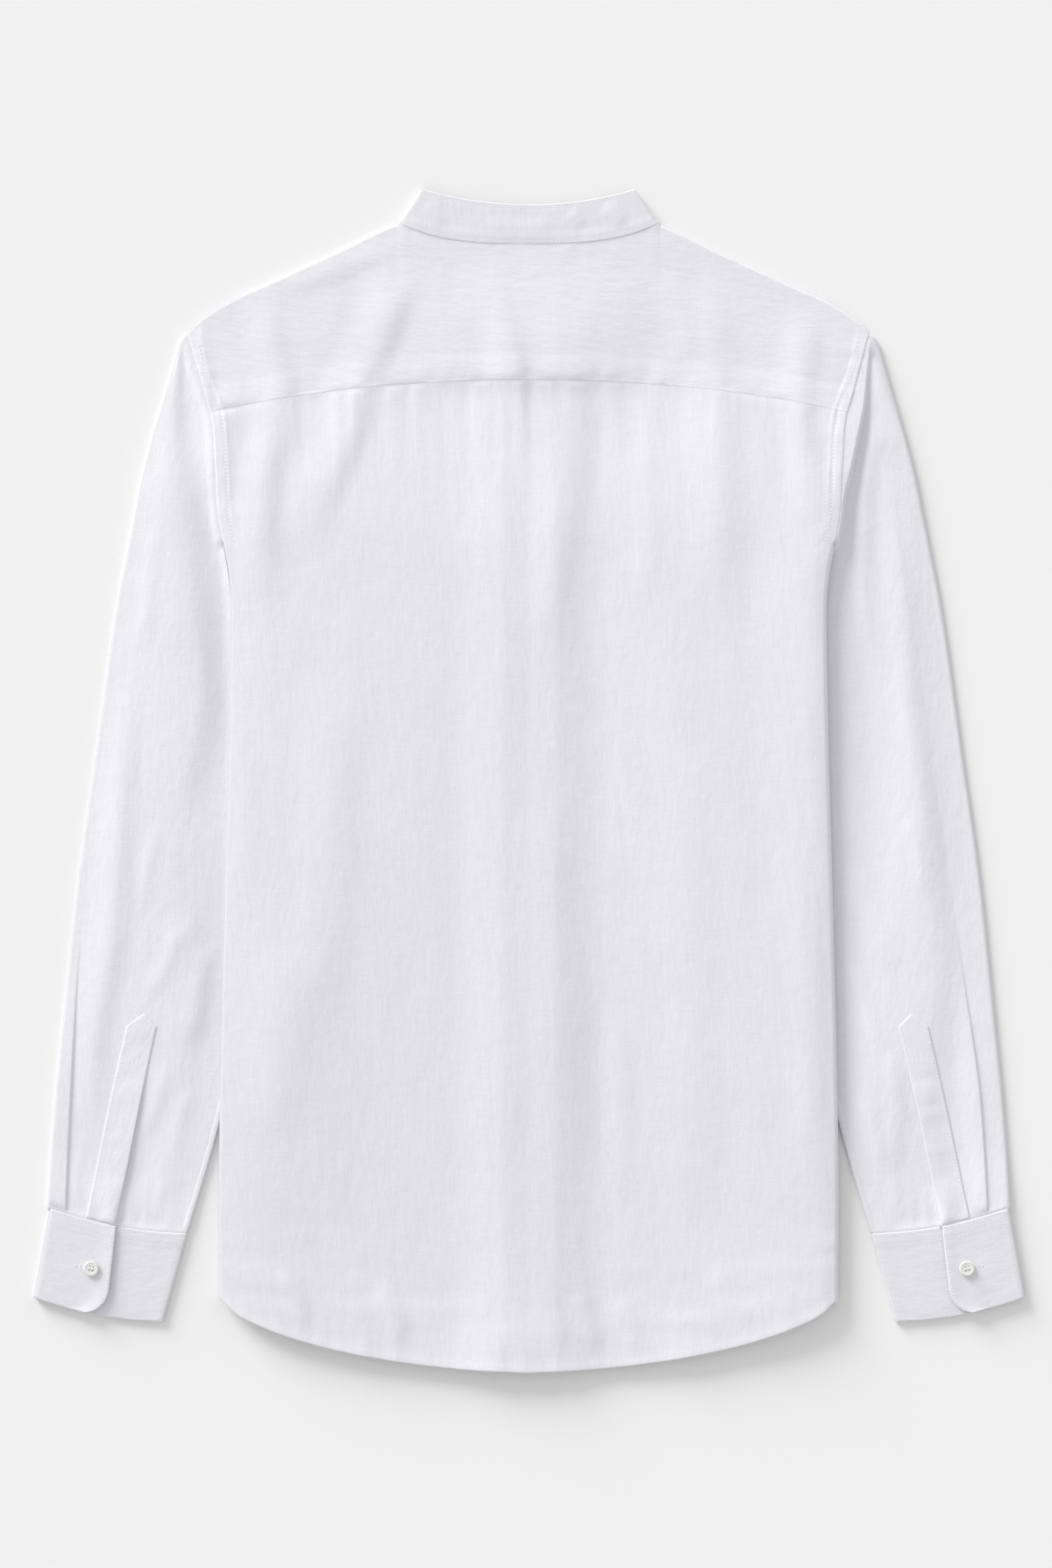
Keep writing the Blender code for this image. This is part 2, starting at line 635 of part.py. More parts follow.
def sleeve_section(row, closed, word):
    """One ring of a sleeve on the +X side: upper layer from the inner edge, outer edge, lower layer."""
    r = dict(zip(SLEEVE_COLUMNS, row))
    outer = np.array([r["outer_x"] - SLEEVE_TURN - CLOTH / 2, r["outer_y"]])
    inner = np.array([r["inner_x"], r["inner_y"]])
    low_inner = np.array([r["low_x"], r["low_y"]])
    if closed:
        inwards = (outer - inner) / np.linalg.norm(outer - inner)
        inner = inner + inwards * (UNDERARM_ROUND + CLOTH / 2)
        low_inner = inner
    width = outer[0] - inner[0]
    beside_tuck = [(tuck_x(outer[0]) + step - inner[0]) / width for step in BESIDE_TUCK]
    narrow = beside_tuck[0] < UPPER_SHARES[-1]
    last_shares = LAST_SHARES if narrow else (*beside_tuck, 1)
    points = []
    for share in (*UPPER_SHARES, *last_shares):
        x, y = inner + (outer - inner) * share
        z = sleeve_rise(x, y, outer[0], inner[0], r["inner_z"], word)
        points.append((x, y - sleeve_sag(y, share), z))
    points += arc(outer[0], ON_SURFACE + SLEEVE_TURN, SLEEVE_TURN, outer[1], outer[1])
    for share in LOWER_SHARES:
        x, y = outer + (low_inner - outer) * share
        points.append((x, y - sleeve_sag(y, share), ON_SURFACE))
    half_gap = (SLEEVE_FLAT - ON_SURFACE) / 2
    turn = arc(low_inner[0], ON_SURFACE + half_gap, -half_gap, low_inner[1], low_inner[1])
    return points + (turn if closed else [None] * len(TURN_SHARES))


def make_sleeve(word, side, finish):
    rows = [sleeve_section(row, j >= FIRST_CLOSED_ROW, word) for j, row in enumerate(SLEEVE)]
    rows = [[p if p is None else (side * p[0], p[1], p[2]) for p in row] for row in rows]
    return cloth(f"sleeve_{word}", rows, finish, closed_from=FIRST_CLOSED_ROW)


def sleeve_top(y, share, word):
    """A point on the free part of the sleeve's upper layer, at a share across from its outer edge."""
    rows = np.array(SLEEVE[FIRST_CLOSED_ROW:], float)
    at = {
        name: float(np.interp(-y, -rows[:, 1], rows[:, k])) for k, name in enumerate(SLEEVE_COLUMNS)
    }
    x = at["outer_x"] + (at["inner_x"] - at["outer_x"]) * share
    slant = at["outer_y"] + (at["inner_y"] - at["outer_y"]) * share
    outer_x = at["outer_x"] - SLEEVE_TURN - CLOTH / 2
    rise = sleeve_rise(x, slant, outer_x, at["inner_x"], SLEEVE_FLAT, word)
    return x, slant - sleeve_sag(slant, share), float(rise)


def make_sleeve_placket(word, side, finish):
    """The tower-shaped strip over the sleeve's slit, on the sleeve's own points, moved out."""
    at = dict(zip(PLACKET_COLUMNS, SLEEVE_PLACKET[word]))
    rows = []
    foot_y = SLEEVE[-1][1] - PLACKET_TO_CUFF
    for down in np.linspace(0, 1, PLACKET_STRIP_ROWS):
        row = []
        for across in (0, 0.5, 1):
            outer = at["outer_top"] + (at["outer_foot"] - at["outer_top"]) * down
            inner = at["inner_top"] + (at["inner_foot"] - at["inner_top"]) * down
            share = outer + (inner - outer) * across
            peak = PLACKET_POINT * (1 - abs(2 * across - 1)) if down == 0 else 0.0
            y = PLACKET_TOP_Y + peak + (foot_y - PLACKET_TOP_Y) * down
            x, y, z = sleeve_top(y, share, word)
            row.append((side * x, y, z + ON_PANEL))
        rows.append(row)
    return cloth(f"sleeve_placket_{word}", rows, finish)


# ---------------------------------------------------------------- cuffs


def cuff_point(share, down, level):
    """A point of the flat cuff: share across from the outer edge, down from its top edge."""
    top = np.array(CUFF_TOP[0]) + (np.array(CUFF_TOP[1]) - np.array(CUFF_TOP[0])) * share
    foot = np.array(CUFF_FOOT[0]) + (np.array(CUFF_FOOT[1]) - np.array(CUFF_FOOT[0])) * share
    x, y = top + (foot - top) * down
    return x, y - CUFF_SAG * math.sin(math.pi * share), level


def cuff_turn(share, down, low, high, outward):
    """The points round one folded edge of the cuff, from the level high to the level low."""
    x, y, _ = cuff_point(share, down, 0)
    turn = arc(0, (high + low) / 2, (high - low) / 2, y, y)
    return [(x + outward * reach, y, z) for reach, y, z in turn]


def cuff_row(down):
    """The cuff's strip once round: hidden under end, inner fold, underside, outer fold, upper end."""
    level = CUFF_LEVELS
    outer_edge, inner_edge = CUFF_FOLDS
    round_off = CUFF_CORNER / CUFF_HEIGHT
    cut = min(max(0.0, down - (1 - round_off)) / round_off, 1.0)
    corner = CUFF_CORNER / (CUFF_TOP[0][0] - CUFF_TOP[1][0]) * (1 - math.sqrt(1 - cut**2))
    over_end = CUFF_OVER_END + CUFF_OVER_SLANT * down - corner
    row = [
        cuff_point(s, down, level["lower_lap"])
        for s in np.linspace(CUFF_UNDER_END, inner_edge, 5)
    ]
    row += cuff_turn(inner_edge, down, level["under"], level["lower_lap"], -1)
    row += [cuff_point(s, down, level["under"]) for s in np.linspace(inner_edge, outer_edge, 6)]
    row += reversed(cuff_turn(outer_edge, down, level["under"], level["upper_lap"], 1))
    row += [cuff_point(s, down, level["upper_lap"]) for s in np.linspace(outer_edge, over_end, 4)]
    return row


def make_cuff(name, side, finish):
    rows = [cuff_row(down) for down in CUFF_ROWS]
    rows = [[(side * x, y, z) for x, y, z in row] for row in rows]
    return cloth(name, rows, finish, wall=BAND)


# ---------------------------------------------------------------- collar band


COLLAR_BACK_SHARES = (0, 0.2, 0.4, 0.6, 0.8, 0.93, 1)
COLLAR_FRONT_SHARES = (0, 0.15, 0.3, 0.45, 0.6, 0.7, 0.8, 0.9, 1)


def collar_half(up, crosses):
    """One line round half the band, from the middle of the back to the front end, at a share up."""
    fold = np.array(COLLAR_FOLD_FOOT) + (np.array(COLLAR_FOLD_TOP) - np.array(COLLAR_FOLD_FOOT)) * up
    radius = (COLLAR_LEVEL - COLLAR_LOW) / 2
    reach = fold[0] - radius - BAND / 2
    points = []
    for share in COLLAR_BACK_SHARES:
        x = reach * share
        foot = back_neck(x * NECK_HALF / COLLAR_FOLD_FOOT[0]) + SEAM_GAP
        head = COLLAR_BACK_TOP + (COLLAR_FOLD_TOP[1] - COLLAR_BACK_TOP) * (x / COLLAR_FOLD_TOP[0]) ** 2
        y = min(foot + (head - foot) * up, fold[1])
        points.append((x, y, COLLAR_LEVEL))
    back_end_y = points[-1][1]
    front_end_y = back_end_y - COLLAR_TURN_DROP
    points += arc(reach, COLLAR_LOW + radius, radius, back_end_y, front_end_y)
    end = -PLACKET_HALF
    over = OVER_BUTTONS + (BAND + SEAM_GAP if crosses else 0)
    for share in COLLAR_FRONT_SHARES:
        x = reach + (end - reach) * share
        foot = round_neck(x, COLLAR_FOLD_FOOT[0] - 1, front_end_y, FRONT_NECK_Y + UNDER_SEAM_GAP)
        head = round_neck(x, COLLAR_FOLD_TOP[0], front_end_y, FRONT_NECK_Y + COLLAR_FRONT_HEIGHT)
        y = foot + (head - foot) * up
        points.append((x, y, COLLAR_LOW + over * ease(1 - (x - PLACKET_HALF) / COLLAR_LAP_RISE)))
    return points


def make_collar(finish):
    rows = []
    for up in (0, 0.5, 1):
        left = [(-x, y, z) for x, y, z in reversed(collar_half(up, False))]
        rows.append(left[:-1] + collar_half(up, True))
    return cloth("collar_band", rows, finish, wall=BAND)


# ---------------------------------------------------------------- buttons


def turned(profile, sides=16):
    """A closed mesh turned about Z from (radius, z) points that start and end on the axis."""
    shape = bmesh.new()
    verts = [shape.verts.new((r, 0, z)) for r, z in profile]
    edges = [shape.edges.new(pair) for pair in zip(verts, verts[1:])]
    bmesh.ops.spin(
        shape, geom=verts + edges, cent=(0, 0, 0), axis=(0, 0, 1), angle=math.tau, steps=sides
    )
    bmesh.ops.remove_doubles(shape, verts=shape.verts, dist=1e-6)
    bmesh.ops.recalc_face_normals(shape, faces=shape.faces)
    return shape


def button_mesh(name, across):
    """A button with a raised rim and a dished face, its face up, its back at z 0."""
    shares = zip(BUTTON_PROFILE["radius"], BUTTON_PROFILE["height"])
    shape = turned([(r * across / 2 * MM, z * BUTTON_HEIGHT * MM) for r, z in shares])
    mesh = bpy.data.meshes.new(name)
    shape.to_mesh(mesh)
    shape.free()
    mesh.shade_smooth()
    return mesh


def eyelet_mesh(across):
    """Four pins through a button, one for each eye."""
    shape = bmesh.new()
    offset, radius = across * EYE_FROM_MIDDLE * MM, EYE_RADIUS * MM
    for k in range(4):
        turn = math.tau * (k + 0.5) / 4
        pin = bmesh.ops.create_cone(
            shape, cap_ends=True, segments=6, radius1=radius, radius2=radius, depth=6 * BUTTON_HEIGHT * MM
        )
        place = (offset * math.cos(turn), offset * math.sin(turn), 0)
        bmesh.ops.translate(shape, verts=pin["verts"], vec=place)
    mesh = bpy.data.meshes.new("button_eyes")
    shape.to_mesh(mesh)
    shape.free()
    return mesh


def place_button(name, mesh, cutter_mesh, x, y, z, face_down, finish):
    """A button at a place, with its own cutter parented to it."""
    if not mesh.materials:
        mesh.materials.append(finish)
    made = bpy.data.objects.new(name, mesh)
    bpy.context.scene.collection.objects.link(made)
    made.location = (x * MM, y * MM, z * MM)
    if face_down:
        made.rotation_euler = (math.pi, 0, 0)
    cutter = bpy.data.objects.new(name + "_eyes", cutter_mesh)
    cutter.hide_render = True
    cutter.display_type = "WIRE"
    bpy.context.scene.collection.objects.link(cutter)
    cutter.parent = made
    cut = made.modifiers.new("eyes", "BOOLEAN")
    cut.operation = "DIFFERENCE"
    cut.solver = "EXACT"
    cut.object = cutter
    return made


def make_buttons(finish):
    small = button_mesh("cuff_button_turned", CUFF_BUTTON)
    large = button_mesh("front_button_turned", FRONT_BUTTON)
    eyes = eyelet_mesh(FRONT_BUTTON)
    on_cuff = CUFF_LEVELS["upper_lap"] + BAND / 2 + CLEARANCE
    for name, side in (("cuff_button_left", -1), ("cuff_button_right", 1)):
        x, y = CUFF_BUTTON_AT
        place_button(name, small, eyes, side * x, y, on_cuff, False, finish)
    place_button("collar_button", large, eyes, 0, COLLAR_BUTTON_Y, BUTTON_HEIGHT, True, finish)
    for k in range(FRONT_BUTTONS):
        y = FIRST_BUTTON_Y - BUTTON_SPACING * k
        place_button(f"front_button_{k + 1}", large, eyes, 0, y, BUTTON_HEIGHT, True, finish)


# ---------------------------------------------------------------- the shirt


def main():
    for old in list(bpy.data.objects):
        bpy.data.objects.remove(old)
    linen = material("white_linen", WHITE_LINEN, 0.85)
    shell = material("button_shell", MILK_SHELL, 0.3)
    make_back(linen)
    make_yoke(linen)
    make_front("front_left", False, linen)
    make_front("front_right", True, linen)
    make_front_placket(linen)
    make_collar(linen)
    for side, word in ((-1, "left"), (1, "right")):
        make_sleeve(word, side, linen)
        make_sleeve_placket(word, side, linen)
        make_cuff(f"cuff_{word}", side, linen)
    make_buttons(shell)


main()
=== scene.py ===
"""The looks of a band-collar linen shirt that lies flat with its back up.

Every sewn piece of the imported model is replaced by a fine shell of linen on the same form, with its
creases, puckers, stitches and weave. Tables and sizes are in millimetres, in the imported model's frame:
+X to the viewer's right, +Y towards the collar, +Z up.
"""

import math

import bmesh
import bpy
import numpy as np
from bpy.props import FloatProperty, FloatVectorProperty, IntProperty, PointerProperty
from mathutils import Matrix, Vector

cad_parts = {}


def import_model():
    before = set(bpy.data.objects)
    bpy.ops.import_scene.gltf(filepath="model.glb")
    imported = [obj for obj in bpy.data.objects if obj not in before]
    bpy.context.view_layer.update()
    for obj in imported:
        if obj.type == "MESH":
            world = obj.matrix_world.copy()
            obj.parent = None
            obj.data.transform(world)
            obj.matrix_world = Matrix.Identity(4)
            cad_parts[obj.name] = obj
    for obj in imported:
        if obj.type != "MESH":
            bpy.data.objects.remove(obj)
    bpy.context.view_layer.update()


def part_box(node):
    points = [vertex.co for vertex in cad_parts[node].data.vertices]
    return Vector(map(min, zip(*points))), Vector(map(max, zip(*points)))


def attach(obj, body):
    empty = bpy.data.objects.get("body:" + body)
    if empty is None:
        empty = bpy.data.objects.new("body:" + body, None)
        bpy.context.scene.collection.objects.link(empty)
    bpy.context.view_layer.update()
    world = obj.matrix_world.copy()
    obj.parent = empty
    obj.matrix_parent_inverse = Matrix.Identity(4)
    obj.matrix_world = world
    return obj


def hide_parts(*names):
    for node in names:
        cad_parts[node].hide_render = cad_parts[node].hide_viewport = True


bl_info = {
    "name": "Band-Collar Linen Shirt",
    "version": (1, 0, 0),
    "blender": (4, 5, 0),
    "location": "View3D > Sidebar > Shirt",
    "description": "Linen shells, stitches, buttons and a plain stage for the packed shirt",
    "category": "Object",
}

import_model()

MM = 0.001

# ---------------------------------------------------------------- the cut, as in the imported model

SIDES = {"left": -1, "right": 1}
CLOTH = 1.0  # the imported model's wall, and that of its doubled collar band and cuffs
BAND = 1.4
LAYER = 1.7  # from one layer of the stack to the next
ON_SURFACE = CLOTH / 2
CLEARANCE = 0.3

YOKE_DEPTH_AT_SIDE = 22.0
YOKE_SEAM_TOP = 273.5
YOKE_SEAM_POWER = 2.2
HALF_YOKE = 218.0
SHOULDER_END = 234.0
YOKE_HEAD_END = 233.4
FRONT_YOKE_REACH = 40.0
FRONT_YOKE_END = 219.5
FLAP_REACH = 65.0
FOLD_START = 160.0
FRONT_SHORTER = 14.0
FRONT_HEM_JOINS = 230.0
CORNER_Y = -364.0
NECK_HALF = 89.5
NECK_SIDE_Y = 381.5
BACK_NECK_Y = 367.5
FRONT_NECK_Y = 288.0
NECK_ROUND = 2.2
PLACKET_HALF = 17.0

SLEEVE_UNDER_BODY = 3.6
CAP_UNDER_BODY = 1.6
FLAP_LIFT = 4.4
BACK_LEVEL = 5.4
SHOULDER_LEVEL = 4.2
SHOULDER_SLOPE = 70.0
BACK_OVER_FRONT = 2.1
LAP_BLEND = 60.0
COLLAR_LIFT = 1.7
BUTTON_HEIGHT = 2.0
OVER_BUTTONS = BUTTON_HEIGHT + CLEARANCE
ON_PANEL = 1.35

# Pairs: where a change starts, and over how far it runs
CAP_TO_SLEEVE_Y = (215.0, 50.0)
FLAP_RISE_X = (75.0, 45.0)
FLAP_RISE_Y = (240.0, 65.0)
BRIDGE_X = (-120.0, 230.0)  # the back spans the hollows beside the flaps and sleeves beneath it
BRIDGE_Y = (335.0, 170.0)
SLEEVE_RISE = 45.0
PLACKET_RISE = 38.0
COLLAR_RISE_Y = (262.0, 20.0)
COLLAR_FALL_Y = (372.0, 40.0)
COLLAR_FALL_X = (90.0, 50.0)
SAG_FALL = (-180.0, 110.0)
ATTACHED = (156.0, 6.0)  # the sleeve is sewn to the armhole from here up
EDGE_FALL_Y = (225.0, 40.0)
PLACKET_SHOWS = (262.0, 20.0)  # the front placket presses through the back from here down
SLEEVE_SEAM_Y = (140.0, 20.0)

SLEEVE_FLAT = 2.1  # level of the sleeve's upper layer where it lies flat beneath the body
SLEEVE_TURNS = {"left": 0.4, "right": 1.9}  # how far its outer edge bulges outwards
ARMHOLE_ROUND = {"left": 6.0, "right": 2.4}  # over how far it rounds down from the armhole
SEWN_STRIP = {  # how far out the sleeve stays level with the body before it drops
    "left": {"y": (150, 310), "x": (190, 190)},
    "right": {
        "y": (157, 174, 195, 209, 229, 251, 272, 290, 302),
        "x": (205, 209.5, 215.4, 218.6, 223, 227.4, 229.7, 231.5, 233),
    },
}
SLEEVE_SECTIONS = {  # across the sleeve, from beside the body to its outer edge
    "left": {
        "y": (-300, -220, -130, -40, 60, 140, 200, 250, 304),
        "beside": (2.1, 2.2, 2.5, 4.8, 4.2, 8.0, 9.5, 9.5, 9.5),
        "x1": (240, 222, 217, 218, 207, 211, 224, 234, 235.5),
        "z1": (2.4, 2.6, 3.0, 5.6, 4.5, 6.2, 7.3, 4.9, 4.1),
        "x2": (262, 246, 244, 242, 227, 234, 240.5, 243, 238),
        "z2": (3.0, 3.8, 5.0, 6.3, 8.0, 8.8, 8.7, 5.9, 4.2),
        "edge": (2.8, 2.8, 2.8, 2.8, 3.2, 4.2, 5.8, 5.0, 3.9),
    },
    "right": {
        "y": (-300, -220, -130, -40, 60, 140, 200, 250, 304),
        "beside": (2.1, 2.1, 2.1, 2.1, 2.1, 2.1, 2.1, 2.3, 3.6),
        "x1": (250, 220, 222, 229, 228, 217, 222, 230.5, 235),
        "z1": (2.4, 2.3, 2.2, 2.2, 2.2, 2.3, 2.4, 2.5, 3.8),
        "x2": (262, 236, 241, 245, 242, 229, 231, 238.5, 236.5),
        "z2": (2.8, 4.0, 3.9, 3.6, 3.4, 4.5, 4.9, 4.9, 4.2),
        "x3": (280, 246, 250, 253, 248, 237, 239, 243, 237.5),
        "z3": (2.9, 4.1, 4.7, 4.8, 4.3, 4.3, 4.5, 4.6, 4.2),
        "x4": (300, 268, 275, 269, 259, 254, 249, 246, 238.5),
        "z4": (3.1, 4.2, 5.6, 6.1, 5.8, 5.7, 5.1, 4.7, 4.2),
        "x5": (316, 292, 299, 289, 280, 269, 257, 248.5, 240),
        "z5": (3.2, 3.0, 3.0, 2.9, 3.1, 3.5, 4.3, 4.2, 4.0),
        "edge": (3.2, 3.2, 3.2, 3.0, 3.0, 3.3, 3.9, 4.0, 3.9),
    },
}
UNDERARM_ROUND = 0.8  # how far the sleeve's inner fold bulges inwards

BODY_EDGE = {
    "y": (304, 283, 252, 215, 180, 160, 140, 116, 26, -64, -184, -300, -364),
    "x": (234, 229.5, 218, 214.5, 212.5, 208.5, 205, 203, 204.5, 207, 210, 211.5, 211),
}
SHOULDER = {
    "x": (88, 103, 125, 149, 175, 202, 218, 229, 234),
    "y": (381.5, 375, 364, 353, 341, 328.5, 319, 310.5, 304),
}
HEM = {
    "along": (0, 50, 100, 150, 185, 200, 210, 222, 246, 276),
    "y": (-404, -401.5, -395, -384, -371.5, -363.5, -354, -345, -334, -328),
}
FLAP = {"y": (-400, 15, 60, 100, 130, 160), "share": (1, 1, 0.92, 0.65, 0.34, 0.08)}
FRONT_ARMHOLE = {"y": (150, 160, 180, 215, 252, 304), "inset": (3, 4, 9, 13, 13, 10)}
TUCK = {  # the inner edge of the sleeve that lies beneath the body
    "y": (-300, -229, -77, 40, 118, 165, 190, 215, 270, 305),
    "x": (225, 200, 155, 125, 105, 118, 180, 192, 200, 215),
}
SLEEVE_COLUMNS = ("outer_x", "outer_y", "inner_x", "inner_y", "inner_z", "low_x", "low_y")
SLEEVE = (  # rows across the sleeve on the +X side, from the shoulder to the cuff
    (233.8, 305.2, 232.8, 304.2, 4.3, 229.5, 303.2),
    (236.8, 302.8, 234.8, 301.8, 4.4, 230.5, 300.6),
    (239.5, 296, 233.4, 293, 4.6, 224, 291),
    (243, 284, 230, 281, 5.0, 217, 276),
    (250, 260, 221, 256, 6.2, 207, 252),
    (257, 236, 217, 231, 7.4, 202, 228),
    (264, 209, 215.4, 203, 8.9, 200, 203),
    (269, 184, 213.6, 178, 9.7, 199, 180),
    (272.5, 167, 204.0, 163, 9.0, 198, 164),
    (274.5, 157, 198.5, 154, 3.1, 196, 152),
    (276, 149, 189.0, 147, 2.6, 188, 142),
    (278, 140, 172, 134, 2.1, 170, 132),
    (281.5, 121, 118, 118, 2.1, 118, 118),
    (287, 86, 126.5, 86, 2.1, 126.5, 86),
    (292.5, 46, 137.5, 46, 2.1, 137.5, 46),
    (298, 6, 148, 6, 2.1, 148, 6),
    (304, -34, 158.5, -34, 2.1, 158.5, -34),
    (309.5, -76, 169.5, -76, 2.1, 169.5, -76),
    (314.5, -124, 182.5, -124, 2.1, 182.5, -124),
    (319, -168, 194.5, -170, 2.1, 194.5, -170),
    (323.5, -212, 207, -218, 2.1, 207, -218),
    (327, -256, 220, -266, 2.1, 220, -266),
    (329, -290.5, 233, -308.5, 2.1, 233, -308.5),
)
FIRST_CLOSED_ROW = 12
SLEEVE_ROWS = np.array(SLEEVE[FIRST_CLOSED_ROW:], float)
SPAN = {  # the same edge for the back, which comes down from it over SPAN_RISE
    "y": (-300, -229, -77, 40, 118, 165, 215, 260, 300, 330),
    "x": (225, 200, 155, 125, 105, 102, 122, 152, 186, 212),
}
SPAN_RISE = 150.0
CUFF_TUCK = {  # the fold above the cuff: how far in from the sleeve's outer edge, and its lap
    "y": (-300, -220, -130, -60),
    "left": (12.5, 10.5, 6.5, 5.5),
    "right": (14.0, 13.5, 17.0, 20.0),
    "top_y": -95.0,
    "length": 115.0,
    "lap": 1.35,
    "step": 1.0,
    "swell": 16.0,
}

CUFF_TOP = ((329.2, -291.6), (233.2, -309.6))  # outer and inner corner
CUFF_FOOT = ((340, -352.5), (250, -370))
CUFF_SEAM = {"x": 329.0, "y": -292.0, "slope": 0.19}  # where the gathers of the sleeve start
CUFF_LIFT = 1.3  # how far the free end of the upper lap stands up
CUFF_SAG = 4.0  # how far the cuff's edges bow down in the middle
CUFF_HEIGHT = 62.0
CUFF_WIDTH = CUFF_TOP[0][0] - CUFF_TOP[1][0]
CUFF_OVER_END = 0.49  # shares across the cuff from its outer edge
CUFF_OVER_SLANT = 0.075
CUFF_UNDER_END = 0.28
CUFF_FOLDS = (0.03, 0.978)
CUFF_CORNER = 19.0
CUFF_GRID = 2.6
CUFF_LEVELS = {"under": 0.7, "lower_lap": 3.0, "upper_lap": 5.0}
BUTTONHOLE = {
    "from_button": 4.2,
    "length": 6.8,
    "half_gap": 0.45,
    "row": 0.45,
    "bar_row": 0.5,
    "half_bar": 1.3,
}

PLACKET_COLUMNS = ("outer_top", "outer_foot", "inner_top", "inner_foot")
SLEEVE_PLACKET = {"left": (0.352, 0.272, 0.515, 0.480), "right": (0.372, 0.291, 0.534, 0.486)}
PLACKET_TOP_Y = -167.0
PLACKET_WIDTH = 20.0
PLACKET_GRID = 2.4
PLACKET_POINT = 8.5
PLACKET_BAR = 22.0  # how far down the strip its bar of stitches is

COLLAR_FOLD_TOP = (73.0, 404.65)
COLLAR_FOLD_FOOT = (89.0, 382.5)
COLLAR_BACK_TOP = 394.0
COLLAR_FRONT_HEIGHT = 28.0
COLLAR_LEVEL = 4.7
COLLAR_LOW = BAND / 2 + 0.05
COLLAR_TURN = 0.6
COLLAR_TURN_DROP = 2.0
COLLAR_LAP_RISE = 30.0
COLLAR_GRID = 3.0
COLLAR_FRONT_RUN = 100.0  # from the fold at the side of the neck to the front end
COLLAR_STITCH = 1.8

BUTTON_PLACES = {
    "cuff_button_left": (-299.0, -333.0),
    "cuff_button_right": (299.0, -333.0),
    "collar_button": (0.0, 302.0),
    **{f"front_button_{k + 1}": (0.0, 232.0 - 88.0 * k) for k in range(7)},
}

# The flat cut of each sheet: greatest width, greatest length and area
CUTS = {
    "back": (552, 668, 340000),
    "yoke": (468, 170, 54000),
    "front_left": (258, 700, 150000),
    "front_right": (275, 700, 162000),
    "front_placket": (34, 680, 23100),
    "sleeve": (330, 612, 128000),
    "sleeve_placket": (23, 144, 2900),
    "cuff": (245, 62, 15100),
    "collar_band": (440, 29, 12400),
}

# ---------------------------------------------------------------- creases

# Each crease follows a line down its steep, shaded side: gentle_width is the breadth of the lit side
# to the left of it, steep_width that of the shaded side.
CREASE_FADES = (0.22, 0.3)  # shares of its line over which a crease rises and dies out
CREASE_COLUMNS = ("gentle_width", "steep_width", "height", "line")
BODY_CREASES = (
    (24, 14, 1.3, ((-64, 372), (-90, 360), (-130, 346), (-182, 328))),
    (28, 16, 1.7, ((-66, 362), (-92, 304), (-101, 283), (-110, 247), (-125, 211), (-150, 140))),
    (
        22, 16, 1.7,
        ((-178, 352), (-168, 300), (-162, 270), (-162, 247), (-172, 205), (-174, 160), (-173, 100)),
    ),
    (26, 14, 1.4, ((-28, 372), (-16, 330), (-6, 300), (-2, 272), (-2, 225))),
    (28, 20, 1.05, ((36, 360), (42, 300), (43, 247), (36, 200), (28, 145), (26, 115), (40, 50))),
    (16, 12, 0.8, ((98, 352), (112, 313), (114, 282))),
    (26, 22, 1.4, ((126, 350), (136, 300), (141, 250), (141, 200), (140, 105))),
    (20, 16, 1.5, ((200, 330), (197, 300), (194, 250), (200, 205), (202, 160))),
    (8, 9, 0.7, ((-222, 316), (-217, 290), (-214, 262))),
    (32, 26, 1.0, ((-112, 90), (-117, 55), (-122, -20), (-123, -65), (-127, -110), (-144, -205))),
    (30, 34, 1.0, ((-146, -110), (-152, -180), (-150, -250))),
    (30, 24, 0.8, ((30, 10), (26, -50), (36, -170), (40, -300))),
    (26, 24, 0.6, ((118, 50), (122, -150), (128, -345))),
    (18, 14, 0.7, ((188, -20), (198, -180), (196, -310))),
    (85, 90, 1.7, ((10, 270), (12, 150), (10, 0), (6, -180), (6, -370))),
    (16, 12, 0.45, ((84, 240), (88, 170), (82, 110))),
    (18, 14, 0.5, ((-190, 60), (-186, -20), (-188, -90))),
    (14, 12, 0.5, ((66, -150), (70, -220), (66, -300))),
    (13, 10, 1.0, ((-168, -330), (-153, -352), (-149, -378))),
    (13, 10, 1.0, ((-98, -340), (-86, -364), (-83, -388))),
    (13, 10, 0.9, ((36, -345), (45, -368), (50, -394))),
    (12, 10, 0.6, ((66, -350), (74, -372), (80, -392))),
    (14, 10, 0.6, ((128, -330), (142, -352), (160, -370))),
)
SLEEVE_CREASES = {
    "left": (
        (
            28, 17, 1.9,
            ((-262, 80), (-270, 41), (-273, -10), (-275, -60), (-279, -115), (-288, -161), (-300, -270)),
        ),
        (20, 16, 0.8, ((-227, -85), (-224, -125), (-226, -190))),
        (12, 9, 0.9, ((-213, -108), (-219, -140), (-227, -186))),
        (9, 8, 0.6, ((-236, -98), (-244, -128), (-257, -152))),
        (9, 8, 0.6, ((-244, -192), (-251, -222), (-262, -247))),
        (8, 7, 0.5, ((-227, -208), (-236, -236), (-241, -268))),
        (8, 7, 0.5, ((-250, -30), (-257, -60), (-261, -92))),
        (10, 9, 0.6, ((-250, 180), (-256, 130), (-258, 84))),
        (6, 5, 0.4, ((-246, -270), (-250, -284), (-251, -300))),
        (6, 5, 0.4, ((-303, -240), (-306, -264), (-307, -288))),
    ),
    "right": (
        (14, 12, 0.7, ((232, -50), (240, -96), (255, -134))),
        (9, 8, 0.6, ((226, -120), (236, -158), (244, -190))),
        (12, 10, 0.8, ((250, -180), (256, -220), (254, -266))),
        (8, 7, 0.5, ((230, -214), (240, -240), (244, -270))),
        (8, 7, 0.5, ((262, -20), (270, -52), (272, -84))),
        (6, 5, 0.4, ((252, -268), (254, -284), (252, -300))),
    ),
}
